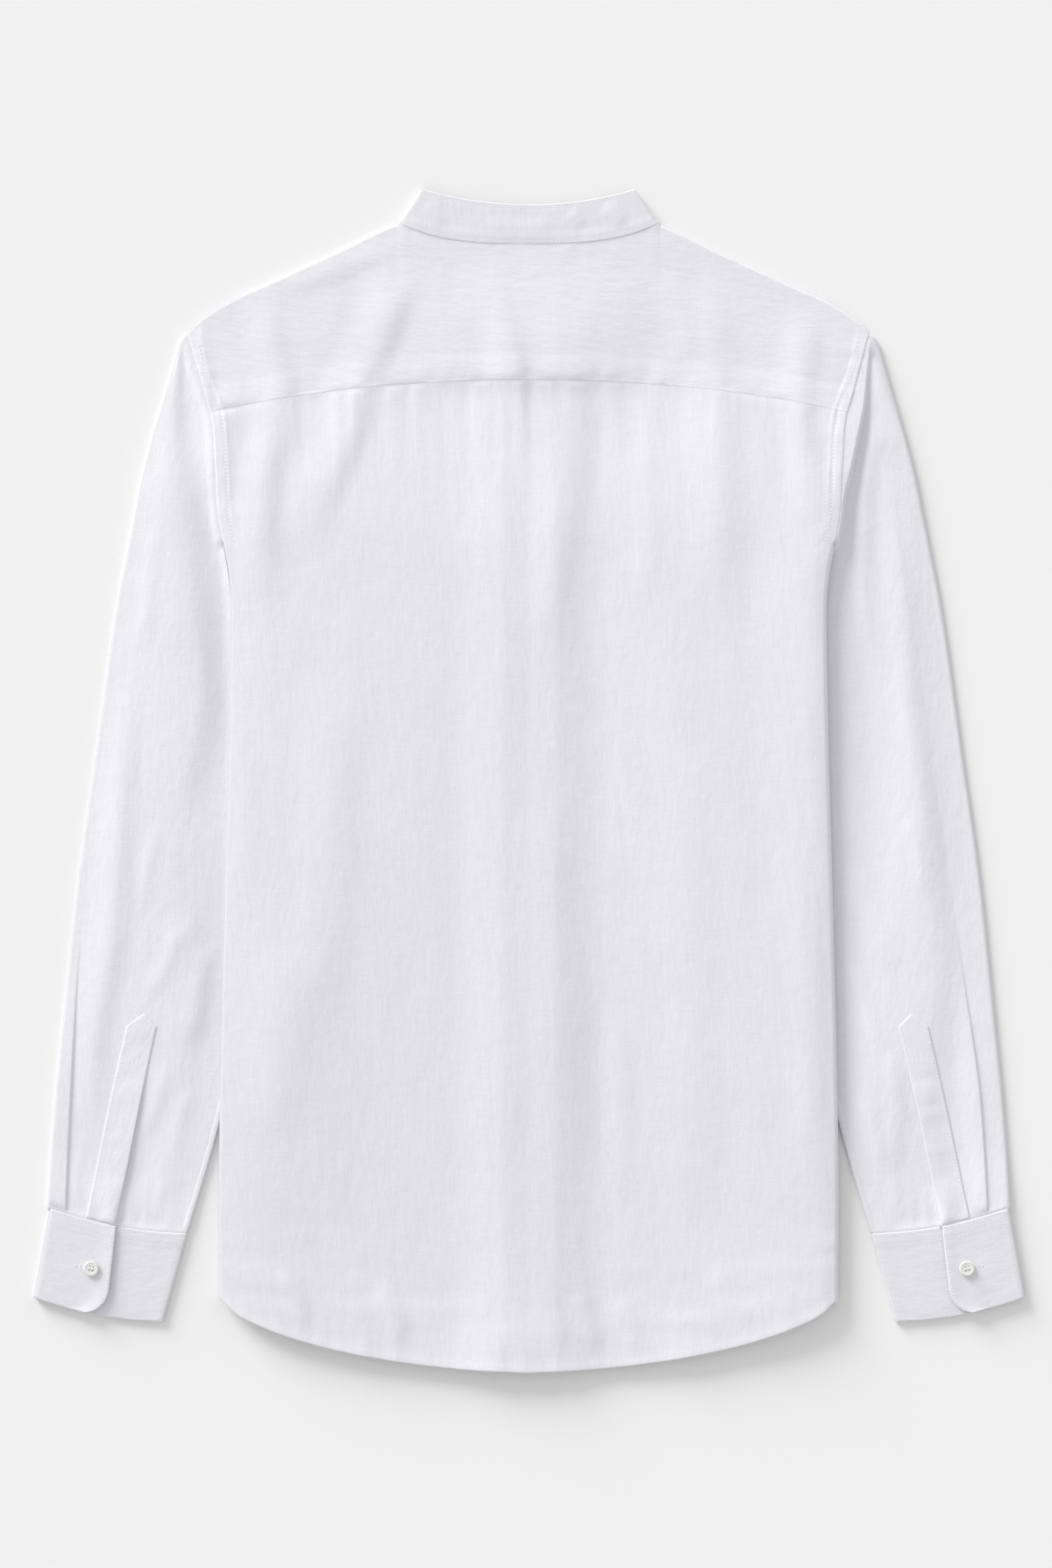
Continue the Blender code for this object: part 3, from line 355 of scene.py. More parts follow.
FRONT_CREASES = (
    (26, 20, 0.9, ((-120, 250), (-128, 170), (-118, 60))),
    (22, 18, 0.7, ((62, 240), (70, 150), (64, 60))),
    (26, 20, 0.8, ((-66, 10), (-72, -120), (-64, -260))),
    (24, 18, 0.7, ((104, -40), (112, -160), (106, -300))),
    (16, 12, 0.5, ((150, 270), (146, 220), (152, 180))),
)
COLLAR_CREASES = (
    (13, 9, 0.6, ((-34, 386), (-18, 383), (4, 383), (22, 386))),
    (10, 8, 0.9, ((54, 397), (62, 389), (68, 380))),
    (10, 8, 0.5, ((-66, 398), (-60, 388), (-56, 378))),
    (9, 7, 0.5, ((30, 392), (36, 386), (40, 380))),
)

# Seams: how wide the turned-in allowance is, and where the line of stitches runs from the edge
YOKE_ALLOWANCE = 15.0
ARMHOLE_ALLOWANCE = 9.5
HEM_DEPTH = 6.2
EDGE_STITCH = 1.6
ARMHOLE_STITCH = 7.5
HEM_STITCH = 5.2
FIRST_CUFF_STITCH = 1.8
SECOND_CUFF_STITCH = 9.0
CUFF_STITCHES = (FIRST_CUFF_STITCH, SECOND_CUFF_STITCH, CUFF_HEIGHT - FIRST_CUFF_STITCH)  # from its top
FRONT_PLACKET_STITCH = 3.0
ALLOWANCE_RISE = 0.2
STITCH_GROOVE = {"half": 1.1, "depth": 0.16}  # which a line of stitches pulls into an allowance
BAND_GROOVE_HALF = 0.9  # the same on the collar band and the cuffs
CUFF_GROOVE = 0.12
COLLAR_GROOVE = 0.14
EDGE_ROUND = (42.0, 15.0)  # how far in the back rounds off at its left and its right side
EDGE_FALLS = (1.8, 1.4)  # how far it falls there
EDGE_SWELL = {  # how high it swells up before that on the right
    "y": (-300, -200, -100, 0, 60, 140, 200, 260),
    "height": (0, 0.5, 1.0, 1.7, 2.3, 2.3, 1.0, 0),
}
SEAM_TUCK = 3.0  # how far a panel runs on beneath the edge that is sewn over it
SEAM_LAP = 4.2  # how far the sleeve runs in beneath the armhole's edge
SEAM_SINK = 0.18  # how much lower it lies there
PLACKET_RIDGE = 0.3  # how high the front placket presses through the back
PLACKET_LIFT = 0.7  # how far the free edge of a sleeve placket stands up
SLIT_DROP = 1.2  # how much lower the sleeve lies beside that edge
FELLED_SEAM = 2.4  # width of the felled seam along a sleeve's inner edge
FELLED_RISE = 0.35
YOKE_DARKER = 0.3  # paleness lost on the whole yoke
FOOT_PAINTED_SHADE = 1.5  # painted shade: paleness lost down to the foot of the back, where the light falls off
CUFF_PALENESS = -1.9
COLLAR_PALENESS = -1.8
SLEEVE_PALENESS = 0.15
NECK_LEVEL = 4.95  # of the yoke at the neck seam
NECK_FALL = 72.0  # over how far down it comes to that level
YOKE_SINK = 0.1  # how much lower the back lies at the yoke's seam
HEM_LIFTS = ((-178, 20, 0.9), (-117, 30, 1.3), (-20, 50, 1.9), (110, 26, 1.3), (168, 24, 1.0))
HEM_LIFT_REACH = 38.0
HEM_WAVE = {"height": 0.35, "reach": 16.0}
ABOVE_HEM_WAVE = {"height": 0.3, "at": 32.0, "reach": 24.0}

# Puckers: how high against the setting, the number that starts their random waves, the spacing of
# the ridges, and how far they reach from the seam
PUCKERS = {
    "below_yoke": (1.6, 1, 9.0, 13.0),
    "back_fullness": (1.5, 8, 6.0, 55.0),
    "left_armhole": (1, 2, 8.0, 9.0),
    "right_armhole": (1, 3, 8.0, 9.0),
    "neck": (1, 5, 9.0, 8.0),
    "above_cuff": (2, 7, 6.5, 18.0),
}
CRUMPLED = ("body", "left_sleeve", "right_sleeve", "fronts", "sleeve_undersides")


# ---------------------------------------------------------------- settings


def length_property(name, description, default, low=0.0, high=10.0):
    return FloatProperty(name=name, description=description, default=default, min=low, max=high)


def colour_property(name, description, default):
    return FloatVectorProperty(name=name, description=description, subtype="COLOR", default=default)


class ShirtClothSettings(bpy.types.PropertyGroup):
    """Sizes in millimetres and colours of the linen"""

    grid: length_property("Grid", "Distance between the points of a shell, in mm", 3.3, 1.5, 20.0)
    under_grid: length_property("Grid below", "The same on the fronts, which lie beneath", 4.6, 2, 20)
    wall: length_property("Wall", "Thickness of one layer, in mm", 0.55, 0.2, 1.0)
    band_wall: length_property("Band wall", "Thickness of collar band and cuffs, in mm", 1.15, 0.4, 1.4)
    crease: length_property("Creases", "Scale of the laid creases", 1.0, 0.0, 2.0)
    crumple: length_property("Crumple", "Height of the small random waves, in mm", 0.32, 0.0, 3.0)
    pucker: length_property("Pucker", "Height of the puckers along seams, in mm", 0.22, 0.0, 1.0)
    seed: IntProperty(name="Seed", description="Start of the random waves", default=11)
    colour: colour_property("Linen", "Colour of the cloth", (0.804, 0.794, 0.830))
    thin_colour: colour_property(
        "Thin places", "Colour where the weave is open", (0.745, 0.735, 0.769)
    )


class ShirtStitchSettings(bpy.types.PropertyGroup):
    """Sizes of the stitches in millimetres"""

    pitch: length_property("Pitch", "Distance from stitch to stitch, in mm", 2.6, 1.0, 6.0)
    length: length_property("Length", "Visible length of a stitch, in mm", 2.0, 0.5, 5.0)
    width: length_property("Width", "Thickness of the thread, in mm", 0.5, 0.1, 1.0)
    colour: colour_property("Thread", "Colour of the sewing thread", (0.90, 0.89, 0.92))


class ShirtButtonSettings(bpy.types.PropertyGroup):
    """Sizes of the buttons in millimetres"""

    cuff_width: length_property("Cuff button", "Diameter, in mm", 10.4, 5.0, 20.0)
    front_width: length_property("Front button", "Diameter, in mm", 11.0, 5.0, 20.0)
    colour: colour_property("Shell", "Colour of the buttons", (0.79, 0.79, 0.75))


class ShirtStageSettings(bpy.types.PropertyGroup):
    """The light and the camera"""

    floor_colour: colour_property("Floor", "Colour of the floor", (0.87, 0.87, 0.87))
    key_strength: FloatProperty(name="Key", description="Strength of the key light", default=3.4)
    key_height: FloatProperty(
        name="Key height", description="Angle of the key light over the floor", subtype="ANGLE",
        default=math.radians(16.5),
    )
    key_turn: FloatProperty(
        name="Key turn", description="Direction that the key light comes from, from +X to +Y",
        subtype="ANGLE", default=math.radians(128),
    )
    key_softness: FloatProperty(
        name="Key softness", description="Width of the key light as seen from the floor", subtype="ANGLE",
        default=math.radians(27),
    )
    fill_strength: FloatProperty(name="Fill", description="Strength of the light all round", default=0.70)
    distance: FloatProperty(
        name="Camera distance", description="Height of the camera", subtype="DISTANCE", default=3.0
    )


# ---------------------------------------------------------------- curves and heights


def through(xs, ys, value):
    """A smooth curve through points, level where they turn, at one value or many."""
    xs, ys = np.asarray(xs, float), np.asarray(ys, float)
    order = np.argsort(xs)
    xs, ys = xs[order], ys[order]
    steps, rises = np.diff(xs), np.diff(ys) / np.diff(xs)
    slopes = np.concatenate([[rises[0]], (rises[1:] + rises[:-1]) / 2, [rises[-1]]])
    turning = np.concatenate([[False], rises[1:] * rises[:-1] <= 0, [False]])
    slopes[turning] = 0.0
    v = np.clip(np.asarray(value, float), xs[0], xs[-1])
    i = np.clip(np.searchsorted(xs, v, side="right") - 1, 0, len(steps) - 1)
    t = (v - xs[i]) / steps[i]
    return (
        ys[i] * (1 + 2 * t) * (1 - t) ** 2
        + slopes[i] * steps[i] * t * (1 - t) ** 2
        + ys[i + 1] * t**2 * (3 - 2 * t)
        + slopes[i + 1] * steps[i] * t**2 * (t - 1)
    )


def curve(table, of, at, value):
    return through(table[of], table[at], value)


def ease(value):
    """0 below 0, 1 above 1, and a smooth step between."""
    t = np.clip(value, 0.0, 1.0)
    return t * t * (3 - 2 * t)


def past(value, rise):
    return ease((value - rise[0]) / rise[1])


def before(value, rise):
    return ease((rise[0] - value) / rise[1])


def soft_max(a, b):
    return np.maximum(a, b) + 0.25 * np.exp(-2 * np.abs(a - b))


def bell(value, half):
    """1 at 0, falling away smoothly to both sides."""
    return np.exp(-((value / half) ** 2))


def between(start, end, share):
    return start + (end - start) * share


def blended(first, second, share):
    return first * (1 - share) + second * share


def run_along(points, axis=0):
    """The length from the first point to each one, along a line or the lines of a grid."""
    steps = np.nan_to_num(np.linalg.norm(np.diff(points, axis=axis), axis=-1))
    return np.concatenate([np.zeros_like(np.take(steps, [0], axis)), np.cumsum(steps, axis)], axis)


def body_edge(y):
    return curve(BODY_EDGE, "y", "x", y)


def yoke_seam(x):
    return YOKE_SEAM_TOP - YOKE_DEPTH_AT_SIDE * (np.abs(x) / HALF_YOKE) ** YOKE_SEAM_POWER


def back_neck(x):
    return BACK_NECK_Y + (NECK_SIDE_Y - BACK_NECK_Y) * (np.abs(x) / NECK_HALF) ** 3


def round_neck(x, half, top, foot):
    share = np.clip(np.abs(x) / half, 0, 1) ** NECK_ROUND
    return top - (top - foot) * (1 - share) ** (1 / NECK_ROUND)


def front_neck_x(y):
    share = np.clip((NECK_SIDE_Y - y) / (NECK_SIDE_Y - FRONT_NECK_Y), 0, 1) ** NECK_ROUND
    return NECK_HALF * (1 - share) ** (1 / NECK_ROUND)


def front_neck(x):
    return round_neck(x, NECK_HALF, NECK_SIDE_Y, FRONT_NECK_Y)


def shoulder(x):
    return curve(SHOULDER, "x", "y", np.abs(x))


def front_yoke_seam(x):
    return shoulder(np.maximum(np.abs(x), NECK_HALF)) - FRONT_YOKE_REACH


def hem(along):
    return curve(HEM, "along", "y", np.abs(along))


def front_hem(along):
    return hem(along) + FRONT_SHORTER * ease(1 - np.abs(along) / FRONT_HEM_JOINS)


def sleeve_lift(x, y):
    beneath = ease((np.abs(x) - np.interp(y, TUCK["y"], TUCK["x"])) / SLEEVE_RISE + 1)
    return beneath * between(CAP_UNDER_BODY, SLEEVE_UNDER_BODY, before(y, CAP_TO_SLEEVE_Y))


def flap_lift(x, y):
    return FLAP_LIFT * past(np.abs(x), FLAP_RISE_X) * before(y, FLAP_RISE_Y)


def front_height(x, y, crosses):
    over = OVER_BUTTONS + (ON_PANEL if crosses else 0)
    near = np.where(crosses, x, np.abs(x))
    lift = over * ease(1 - (near - PLACKET_HALF) / PLACKET_RISE)
    return ON_SURFACE + sleeve_lift(x, y) + flap_lift(x, y) + lift


def spanned(x, y):
    """How far the back stays above the layers beneath it where it spans the hollows beside them."""
    over_sleeve = ease((np.abs(x) - np.interp(y, SPAN["y"], SPAN["x"])) / SPAN_RISE + 1)
    over_sleeve = over_sleeve * between(CAP_UNDER_BODY, SLEEVE_UNDER_BODY, before(y, BRIDGE_Y))
    over_flap = FLAP_LIFT * past(np.abs(x), BRIDGE_X) * before(y, BRIDGE_Y)
    return np.maximum(over_sleeve + over_flap - sleeve_lift(x, y) - flap_lift(x, y), 0)


def back_height(x, y):
    """The middle of the back's and the yoke's cloth, without its creases."""
    beside = ease(np.abs(x) / LAP_BLEND)
    front = blended(front_height(np.abs(x), y, True), front_height(x, y, False), beside)
    below_shoulder = np.where(np.abs(x) > NECK_HALF, shoulder(x), NECK_SIDE_Y) - y
    level = between(SHOULDER_LEVEL, BACK_LEVEL, ease(below_shoulder / SHOULDER_SLOPE))
    over_collar = past(y, COLLAR_RISE_Y) * before(y, COLLAR_FALL_Y)
    over_collar = over_collar * before(np.abs(x), COLLAR_FALL_X)
    over_front = front + BACK_OVER_FRONT + spanned(x, y)
    return soft_max(level, over_front) + COLLAR_LIFT * over_collar - edge_fall(x, y)


def edge_fall(x, y):
    """The back rounds off beside the side folds; on the right it swells up first."""
    inside = body_edge(y) - np.abs(x)
    right = EDGE_FALLS[1] * np.clip(1 - inside / EDGE_ROUND[1], 0, 1) ** 2
    right = right - curve(EDGE_SWELL, "y", "height", y) * ease(1 - (inside - 6) / 50)
    left = EDGE_FALLS[0] * np.clip(1 - inside / EDGE_ROUND[0], 0, 1) ** 2
    return np.where(x > 0, right, left) * before(y, EDGE_FALL_Y)


# ---------------------------------------------------------------- relief of the linen


def cloth_settings():
    return bpy.context.scene.shirt_cloth


def smooth_line(points, count):
    """Points along a smooth line through the given ones, and each one's distance from the start."""
    points = np.asarray(points, float)
    along = run_along(points)
    at = np.linspace(0, along[-1], count)
    return np.stack([through(along, column, at) for column in points.T], axis=-1), at


def crease(x, y, gentle_width, steep_width, height, line):
    """The rise of one crease: gentle on the left of its line, steep on the right, fading at both ends."""
    spots, along = smooth_line(line, 14)
    nearest = np.full(np.shape(x), np.inf)
    aside, share = np.zeros(np.shape(x)), np.zeros(np.shape(x))
    for k in range(len(spots) - 1):
        step = spots[k + 1] - spots[k]
        length = np.hypot(*step)
        from_x, from_y = x - spots[k][0], y - spots[k][1]
        t = np.clip((from_x * step[0] + from_y * step[1]) / length**2, 0, 1)
        gap = np.hypot(from_x - t * step[0], from_y - t * step[1])
        closer = gap < nearest
        nearest = np.where(closer, gap, nearest)
        side = np.sign(from_y * step[0] - from_x * step[1])
        aside = np.where(closer, gap * side, aside)
        share = np.where(closer, (along[k] + t * length) / along[-1], share)
    fade = ease(share / CREASE_FADES[0]) * ease((1 - share) / CREASE_FADES[1])
    lit = ease((aside + steep_width / 2 + gentle_width) / gentle_width)
    shaded = 1 - ease((aside + steep_width / 2) / steep_width)
    return height * fade * np.minimum(lit, shaded)


def creases(x, y, table):
    rise = np.zeros(np.shape(x))
    for row in table:
        rise += crease(x, y, **dict(zip(CREASE_COLUMNS, row)))
    return rise * cloth_settings().crease


def ripple(x, y, size_x, size_y, seed):
    """Smooth random waves between -1 and 1, in cells of a size."""
    cells = 61
    lattice = np.random.default_rng(seed).uniform(-1, 1, (cells, cells))
    u, v = np.broadcast_arrays(np.asarray(x, float) / size_x, np.asarray(y, float) / size_y)
    i, j = np.floor(u).astype(int), np.floor(v).astype(int)
    a, b = ease(u - i), ease(v - j)
    low = lattice[i % cells, j % cells] * (1 - a) + lattice[(i + 1) % cells, j % cells] * a
    high = lattice[i % cells, (j + 1) % cells] * (1 - a) + lattice[(i + 1) % cells, (j + 1) % cells] * a
    return low * (1 - b) + high * b


def crumple(x, y, part):
    """Small soft waves all over the linen, longer along the warp than across it."""
    seed = cloth_settings().seed + 10 * CRUMPLED.index(part)
    bent = x + 7 * ripple(x, y, 31, 43, seed)
    broad = ripple(bent, y, 41, 130, seed + 1)
    middle = ripple(bent, y + 0.4 * x, 17, 47, seed + 2)
    crossed = ripple(x + 0.7 * y, y - 0.5 * x, 15, 33, seed + 3)
    fine = ripple(bent, y, 8, 19, seed + 4)
    return cloth_settings().crumple * (0.55 * broad + 0.42 * middle + 0.25 * crossed + 0.16 * fine)


def puckers(along, away, seam):
    """Small ridges square to a seam, flat at its stitches and fading out away from it."""
    height, part, spacing, reach = PUCKERS[seam]
    seed = cloth_settings().seed + 100 + part
    waves = ripple(along, 0 * along, spacing, 1.0, seed)
    waves = waves + 0.6 * ripple(along, 0 * along, 4.3, 1.0, seed + 1)
    away = np.abs(away)
    return height * (cloth_settings().pucker * waves * ease(away / 3) * bell(away, reach))


def allowance(inside, width, stitch):
    """The rise over a turned-in allowance at a distance inside its edge, with its line of stitches."""
    ledge = ease(inside / 1.2) * (1 - ease((inside - width) / 2.5))
    groove = bell(inside - stitch, STITCH_GROOVE["half"])
    return ALLOWANCE_RISE * ledge - STITCH_GROOVE["depth"] * groove


def inside_armhole(x, y):
    return np.where(y > FOLD_START, body_edge(y) - np.abs(x), 100.0)


def body_surface(x, y):
    """The middle of the back's and the yoke's cloth with its creases."""
    z = back_height(x, y) + creases(x, y, BODY_CREASES) + crumple(x, y, "body")
    z = z + PLACKET_RIDGE * (1 - ease((np.abs(x) - PLACKET_HALF - 1) / 6)) * before(y, PLACKET_SHOWS)
    below_seam = yoke_seam(x) - y
    z = z + puckers(x, below_seam, "below_yoke")
    z = z + puckers(x + 0.02 * y, np.maximum(below_seam, 0), "back_fullness")
    inside = inside_armhole(x, y)
    armhole = "right_armhole" if np.mean(x) > 0 else "left_armhole"
    z = z + puckers(y, inside - ARMHOLE_STITCH, armhole)
    ledge = 1.8 * allowance(inside, ARMHOLE_ALLOWANCE, ARMHOLE_STITCH)
    return z + ledge * past(y, (FOLD_START + 5, 40.0))


def back_surface(x, y):
    """The back: sunk under the yoke at its seam, with its narrow hem."""
    above_hem = y - hem(x)
    z = body_surface(x, y) - YOKE_SINK * ease(1 - (yoke_seam(x) - y) / 2.2)
    z = z + allowance(above_hem + 1.2, HEM_DEPTH, HEM_STITCH + 1.2) * 1.5
    wave = ripple(x, 0 * x, 13, 1, 71) + 0.7 * ripple(x, 0 * x, 6.5, 1, 72)
    above = bell(above_hem - ABOVE_HEM_WAVE["at"], ABOVE_HEM_WAVE["reach"])
    crossing = ripple(x + 0.3 * y, y, 37, 9, 73) * above
    for place, half, height in HEM_LIFTS:
        z = z + height * bell(x - place, half) * bell(above_hem, HEM_LIFT_REACH)
    z = z + HEM_WAVE["height"] * wave * bell(above_hem, HEM_WAVE["reach"])
    return z + ABOVE_HEM_WAVE["height"] * crossing


def yoke_surface(x, y):
    above = y - yoke_seam(x)
    beyond = np.maximum(np.abs(x) - NECK_HALF, 0)
    below_neck = back_neck(np.minimum(np.abs(x), NECK_HALF)) - y + 1.7 * beyond
    z = body_surface(x, y) + allowance(above, YOKE_ALLOWANCE, EDGE_STITCH)
    z = blended(z, NECK_LEVEL, ease(1 - below_neck / NECK_FALL))
    return z + puckers(x, below_neck, "neck")


def paleness_of_body(x, y, on_yoke):
    """How pale the linen looks: more where it lies double, and less down towards the foot of the back,
    where shade is painted in for the light that falls off there.
    """
    pale = 1 - ease((inside_armhole(x, y) - ARMHOLE_ALLOWANCE) / 2.5)
    if on_yoke:
        return np.maximum(pale, 1 - ease((y - yoke_seam(x) - YOKE_ALLOWANCE) / 2.0)) - YOKE_DARKER
    pale = np.maximum(pale, 1 - ease((y - hem(x) - HEM_DEPTH) / 1.5))
    # Painted shade: darker down towards the foot of the back, where the light falls off.
    return pale - FOOT_PAINTED_SHADE * ease((160 - y) / 480)


# ---------------------------------------------------------------- shells


def marks(length, step, start=(), end=()):
    """Shares along a length, a step apart, with closer ones at distances from its start and its end."""
    low, high = (start[-1] if start else 0.0), length - (end[-1] if end else 0.0)
    middle = np.linspace(low, high, max(2, int(round((high - low) / step)) + 1))
    places = [0.0] * bool(start) + [*start[:-1], *middle] + [length - e for e in reversed(end[:-1])]
    return np.array(places + [length] * bool(end)) / length


TOWARDS_LIGHT = np.array([-0.64, 0.77, 0.0])
PAINTED_SHADE_FACING = (0.2, 0.35)  # how far cloth must face the key light to get painted shade, holding back its highlights
RIM_WALL = 0.45  # share of the wall that is left at a shell's open edges
RIM = (0.5, 1.2, 2.2, 3.6)
BESIDE_ARMHOLE = (0.5, 1.2, 2.2, 3.6, 5.0, 6.1, 6.7, 7.2, 7.8, 8.5, 9.4, 10.6, 12.0)
HALF_TURN = np.linspace(0, math.pi, 8)[1:-1]


def stacked(x, y, z):
    return np.stack(np.broadcast_arrays(x, y, z), axis=-1).astype(float)


def ridge(centre_x, centre_z, reach, height, y_start, y_end, angle=math.pi):
    """Rows of points of a half turn, or less, in the x-z plane, from the top outwards and down."""
    share = HALF_TURN / math.pi
    x = centre_x + reach * np.sin(share * angle)
    y = y_start + (y_end - y_start) * share
    return stacked(x, y, centre_z + height * np.cos(share * angle))


def joined(*parts):
    return np.concatenate(parts, axis=1)


def placed(name, data):
    """A new object in the scene."""
    piece = bpy.data.objects.new(name, data)
    bpy.context.scene.collection.objects.link(piece)
    return piece


def mark_points(mesh, name, values):
    """Stores a number for each point of the mesh, which its finish reads."""
    mesh.attributes.new(name, "FLOAT", "POINT").data.foreach_set("value", values.astype(np.float32))


def normals_of(parts):
    normals = np.empty(len(parts) * 3)
    parts.foreach_get("normal", normals)
    return normals.reshape(-1, 3)


def lay_cloth(name, grid, grain, pale, wall, closed=None):
    """A closed shell through a grid of points: rows x columns x 3, not-a-number where there is none.

    grain holds each point's place on the cut cloth, which the weave follows, and pale says how pale the
    linen looks there: 1 where it lies double, below 0 where it is darker than a single layer, as on the
    bands, and where shade is painted down the back. closed says for each row whether its last point meets
    its first.
    """
    rows, columns = grid.shape[:2]
    known = ~np.isnan(grid[..., 0])
    index = np.full((rows, columns), -1)
    index[known] = np.arange(known.sum())
    right, down = np.roll(index, -1, axis=1), np.roll(index, -1, axis=0)
    cross = np.roll(right, -1, axis=0)
    quads = np.stack([index, down, cross, right], axis=-1)[:-1]
    use = (quads >= 0).all(-1)
    ring = np.zeros(rows, bool) if closed is None else np.asarray(closed)
    use[:, -1] &= ring[:-1] & ring[1:]
    quads = quads[use]
    mesh = bpy.data.meshes.new(name)
    mesh.from_pydata((grid[known] * MM).tolist(), [], quads.tolist())
    edges, uses = np.unique(
        np.sort(np.stack([quads, np.roll(quads, -1, axis=1)], axis=-1).reshape(-1, 2), axis=1),
        axis=0, return_counts=True,
    )
    at_rim = np.zeros(known.sum(), bool)
    at_rim[edges[uses == 1].ravel()] = True
    layer = mesh.uv_layers.new(name="grain")
    corners = np.empty(len(mesh.loops), int)
    mesh.loops.foreach_get("vertex_index", corners)
    layer.data.foreach_set("uv", grain[known][corners].astype(np.float32).ravel())
    mark_points(mesh, "paleness", np.broadcast_to(pale, known.shape)[known])
    # Painted shade: points where the cloth faces the key light, as where it turns over an edge towards
    # it, are marked for the finish to darken.
    normals = normals_of(mesh.vertices)
    steep = (normals @ TOWARDS_LIGHT) * np.where(normals[:, 2] < 0, -1, 1)
    mark_points(mesh, "turned", past(steep, PAINTED_SHADE_FACING))
    mesh.materials.append(linen_finish())
    mesh.shade_smooth()
    piece = placed(name, mesh)
    group = piece.vertex_groups.new(name="wall")
    group.add(np.flatnonzero(~at_rim).tolist(), 1.0, "REPLACE")
    group.add(np.flatnonzero(at_rim).tolist(), RIM_WALL, "REPLACE")
    solid = piece.modifiers.new("wall", "SOLIDIFY")
    solid.thickness = wall * MM
    solid.offset = 0.0
    solid.vertex_group = "wall"
    return piece


def facing_up(piece, up=True):
    """Turns the shell's faces so that they point up, or down, before its wall is added."""
    if (normals_of(piece.data.polygons)[:, 2].sum() > 0) != up:
        piece.data.flip_normals()
    return piece


def take_place(piece, node):
    """The piece rides on the shirt's body and stands for its CAD node."""
    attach(piece, "root")
    if node:
        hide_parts(node)


def declare(cut, with_pieces=()):
    width, length, area = CUTS[cut]
    flat, area = (width * MM, length * MM), area * MM * MM


# ---------------------------------------------------------------- stitches

STITCH_SECTIONS = ((0.0, 0.0), (0.16, 0.8), (0.5, 1.0), (0.84, 0.8), (1.0, 0.0))  # share, roundness
STITCH_SIDES = 6


def spaced(line, pitch):
    """Points a pitch apart along a line of points."""
    line = np.asarray(line, float)
    along = run_along(line)
    at = np.arange(0, along[-1], pitch)
    return np.stack([np.interp(at, along, column) for column in line.T], axis=-1)


def sew(name, lines):
    """One piece of all stitches along lines of points on the cloth."""
    settings = bpy.context.scene.shirt_stitches
    turns = np.linspace(0, math.tau, STITCH_SIDES, endpoint=False)
    points, faces = [], []
    for line in lines:
        spots = spaced(line, settings.pitch)
        for start, end in zip(spots, spots[1:]):
            step = end - start
            ahead = step / np.linalg.norm(step)
            across = np.cross((0, 0, 1.0), ahead)
            across /= np.linalg.norm(across)
            above = np.cross(ahead, across)
            base = len(points)
            length = min(settings.length, np.linalg.norm(step) * 0.85)
            for share, round_ in STITCH_SECTIONS:
                centre = start + ahead * length * share
                if round_ == 0.0:
                    points.append(centre - above * 0.1)
                    continue
                for turn in turns:
                    out = across * math.cos(turn) + above * math.sin(turn) * 0.75
                    points.append(centre + out * settings.width / 2 * round_)
            last = base + 1 + 3 * STITCH_SIDES
            for k in range(STITCH_SIDES):
                n = (k + 1) % STITCH_SIDES
                faces.append((base, base + 1 + n, base + 1 + k))
                for ring in (0, 1):
                    low, high = base + 1 + ring * STITCH_SIDES, base + 1 + (ring + 1) * STITCH_SIDES
                    faces.append((low + k, low + n, high + n, high + k))
                foot = base + 1 + 2 * STITCH_SIDES
                faces.append((foot + k, foot + n, last))
    mesh = bpy.data.meshes.new(name)
    mesh.from_pydata((np.array(points) * MM).tolist(), [], faces)
    mesh.materials.append(thread_finish())
    mesh.shade_smooth()
    piece = placed(name, mesh)
    take_place(piece, None)
    return piece


def on_top(x, y, surface, wall, sunk=0.05):
    """A line of points on the upper face of a surface."""
    return stacked(x, y, surface(x, y) + wall / 2 - sunk)


# ---------------------------------------------------------------- body


# Of the left side, -1, and the right side, 1: how far the fold bulges, and where up it turns over
FOLD_REACH = {-1: 0.5, 1: 2.9}
FOLD_TURNS_OVER = {-1: (162.5, 4.5), 1: (163.5, 5.5)}


def fold_line(y, side):
    """The x of the axis that the body's edge turns round, and how far it turns: from a plain edge in the
    upper armhole to a half turn where the side fold starts."""
    angle = math.pi * (0.01 + 0.99 * before(y, FOLD_TURNS_OVER[side]))
    return body_edge(y) - 0.3 - FOLD_REACH[side] * np.sin(np.minimum(angle, math.pi / 2)), angle


def armhole_rim(y, side):
    """Where the body's cloth ends in the armhole, which the sleeve is sewn to from beneath."""
    axis, angle = fold_line(y, side)
    head = body_surface(side * axis, y)
    foot = ON_SURFACE + sleeve_lift(axis, y)
    middle, half = (head + foot) / 2, (head - foot) / 2
    return axis + FOLD_REACH[side] * np.sin(angle), middle + half * np.cos(angle)


def flap_shares(step):
    return marks(FLAP_REACH, step, end=(0.6, 2.0))[1:]


def body_flap(x_axis, y_edge, down, hem_line, lift, step):
    """The cloth from the fold inwards beneath the body."""
    share = np.concatenate([[0.0], flap_shares(step)])[None, :]
    reach = FLAP_REACH * curve(FLAP, "y", "share", y_edge)
    x = x_axis - share * reach
    rise = hem_line(body_edge(y_edge) + share * reach) - hem_line(body_edge(y_edge))
    y = y_edge + rise * past(down, (0.78, 0.22))
    return stacked(x, y, ON_SURFACE + lift + sleeve_lift(x, y)), share * reach


def cut_above_fold(grid, y_edge, first):
    """Leaves out the points from a column on, in the rows above the fold."""
    grid[(y_edge[:, 0] >= FOLD_START), first:] = np.nan
    return grid


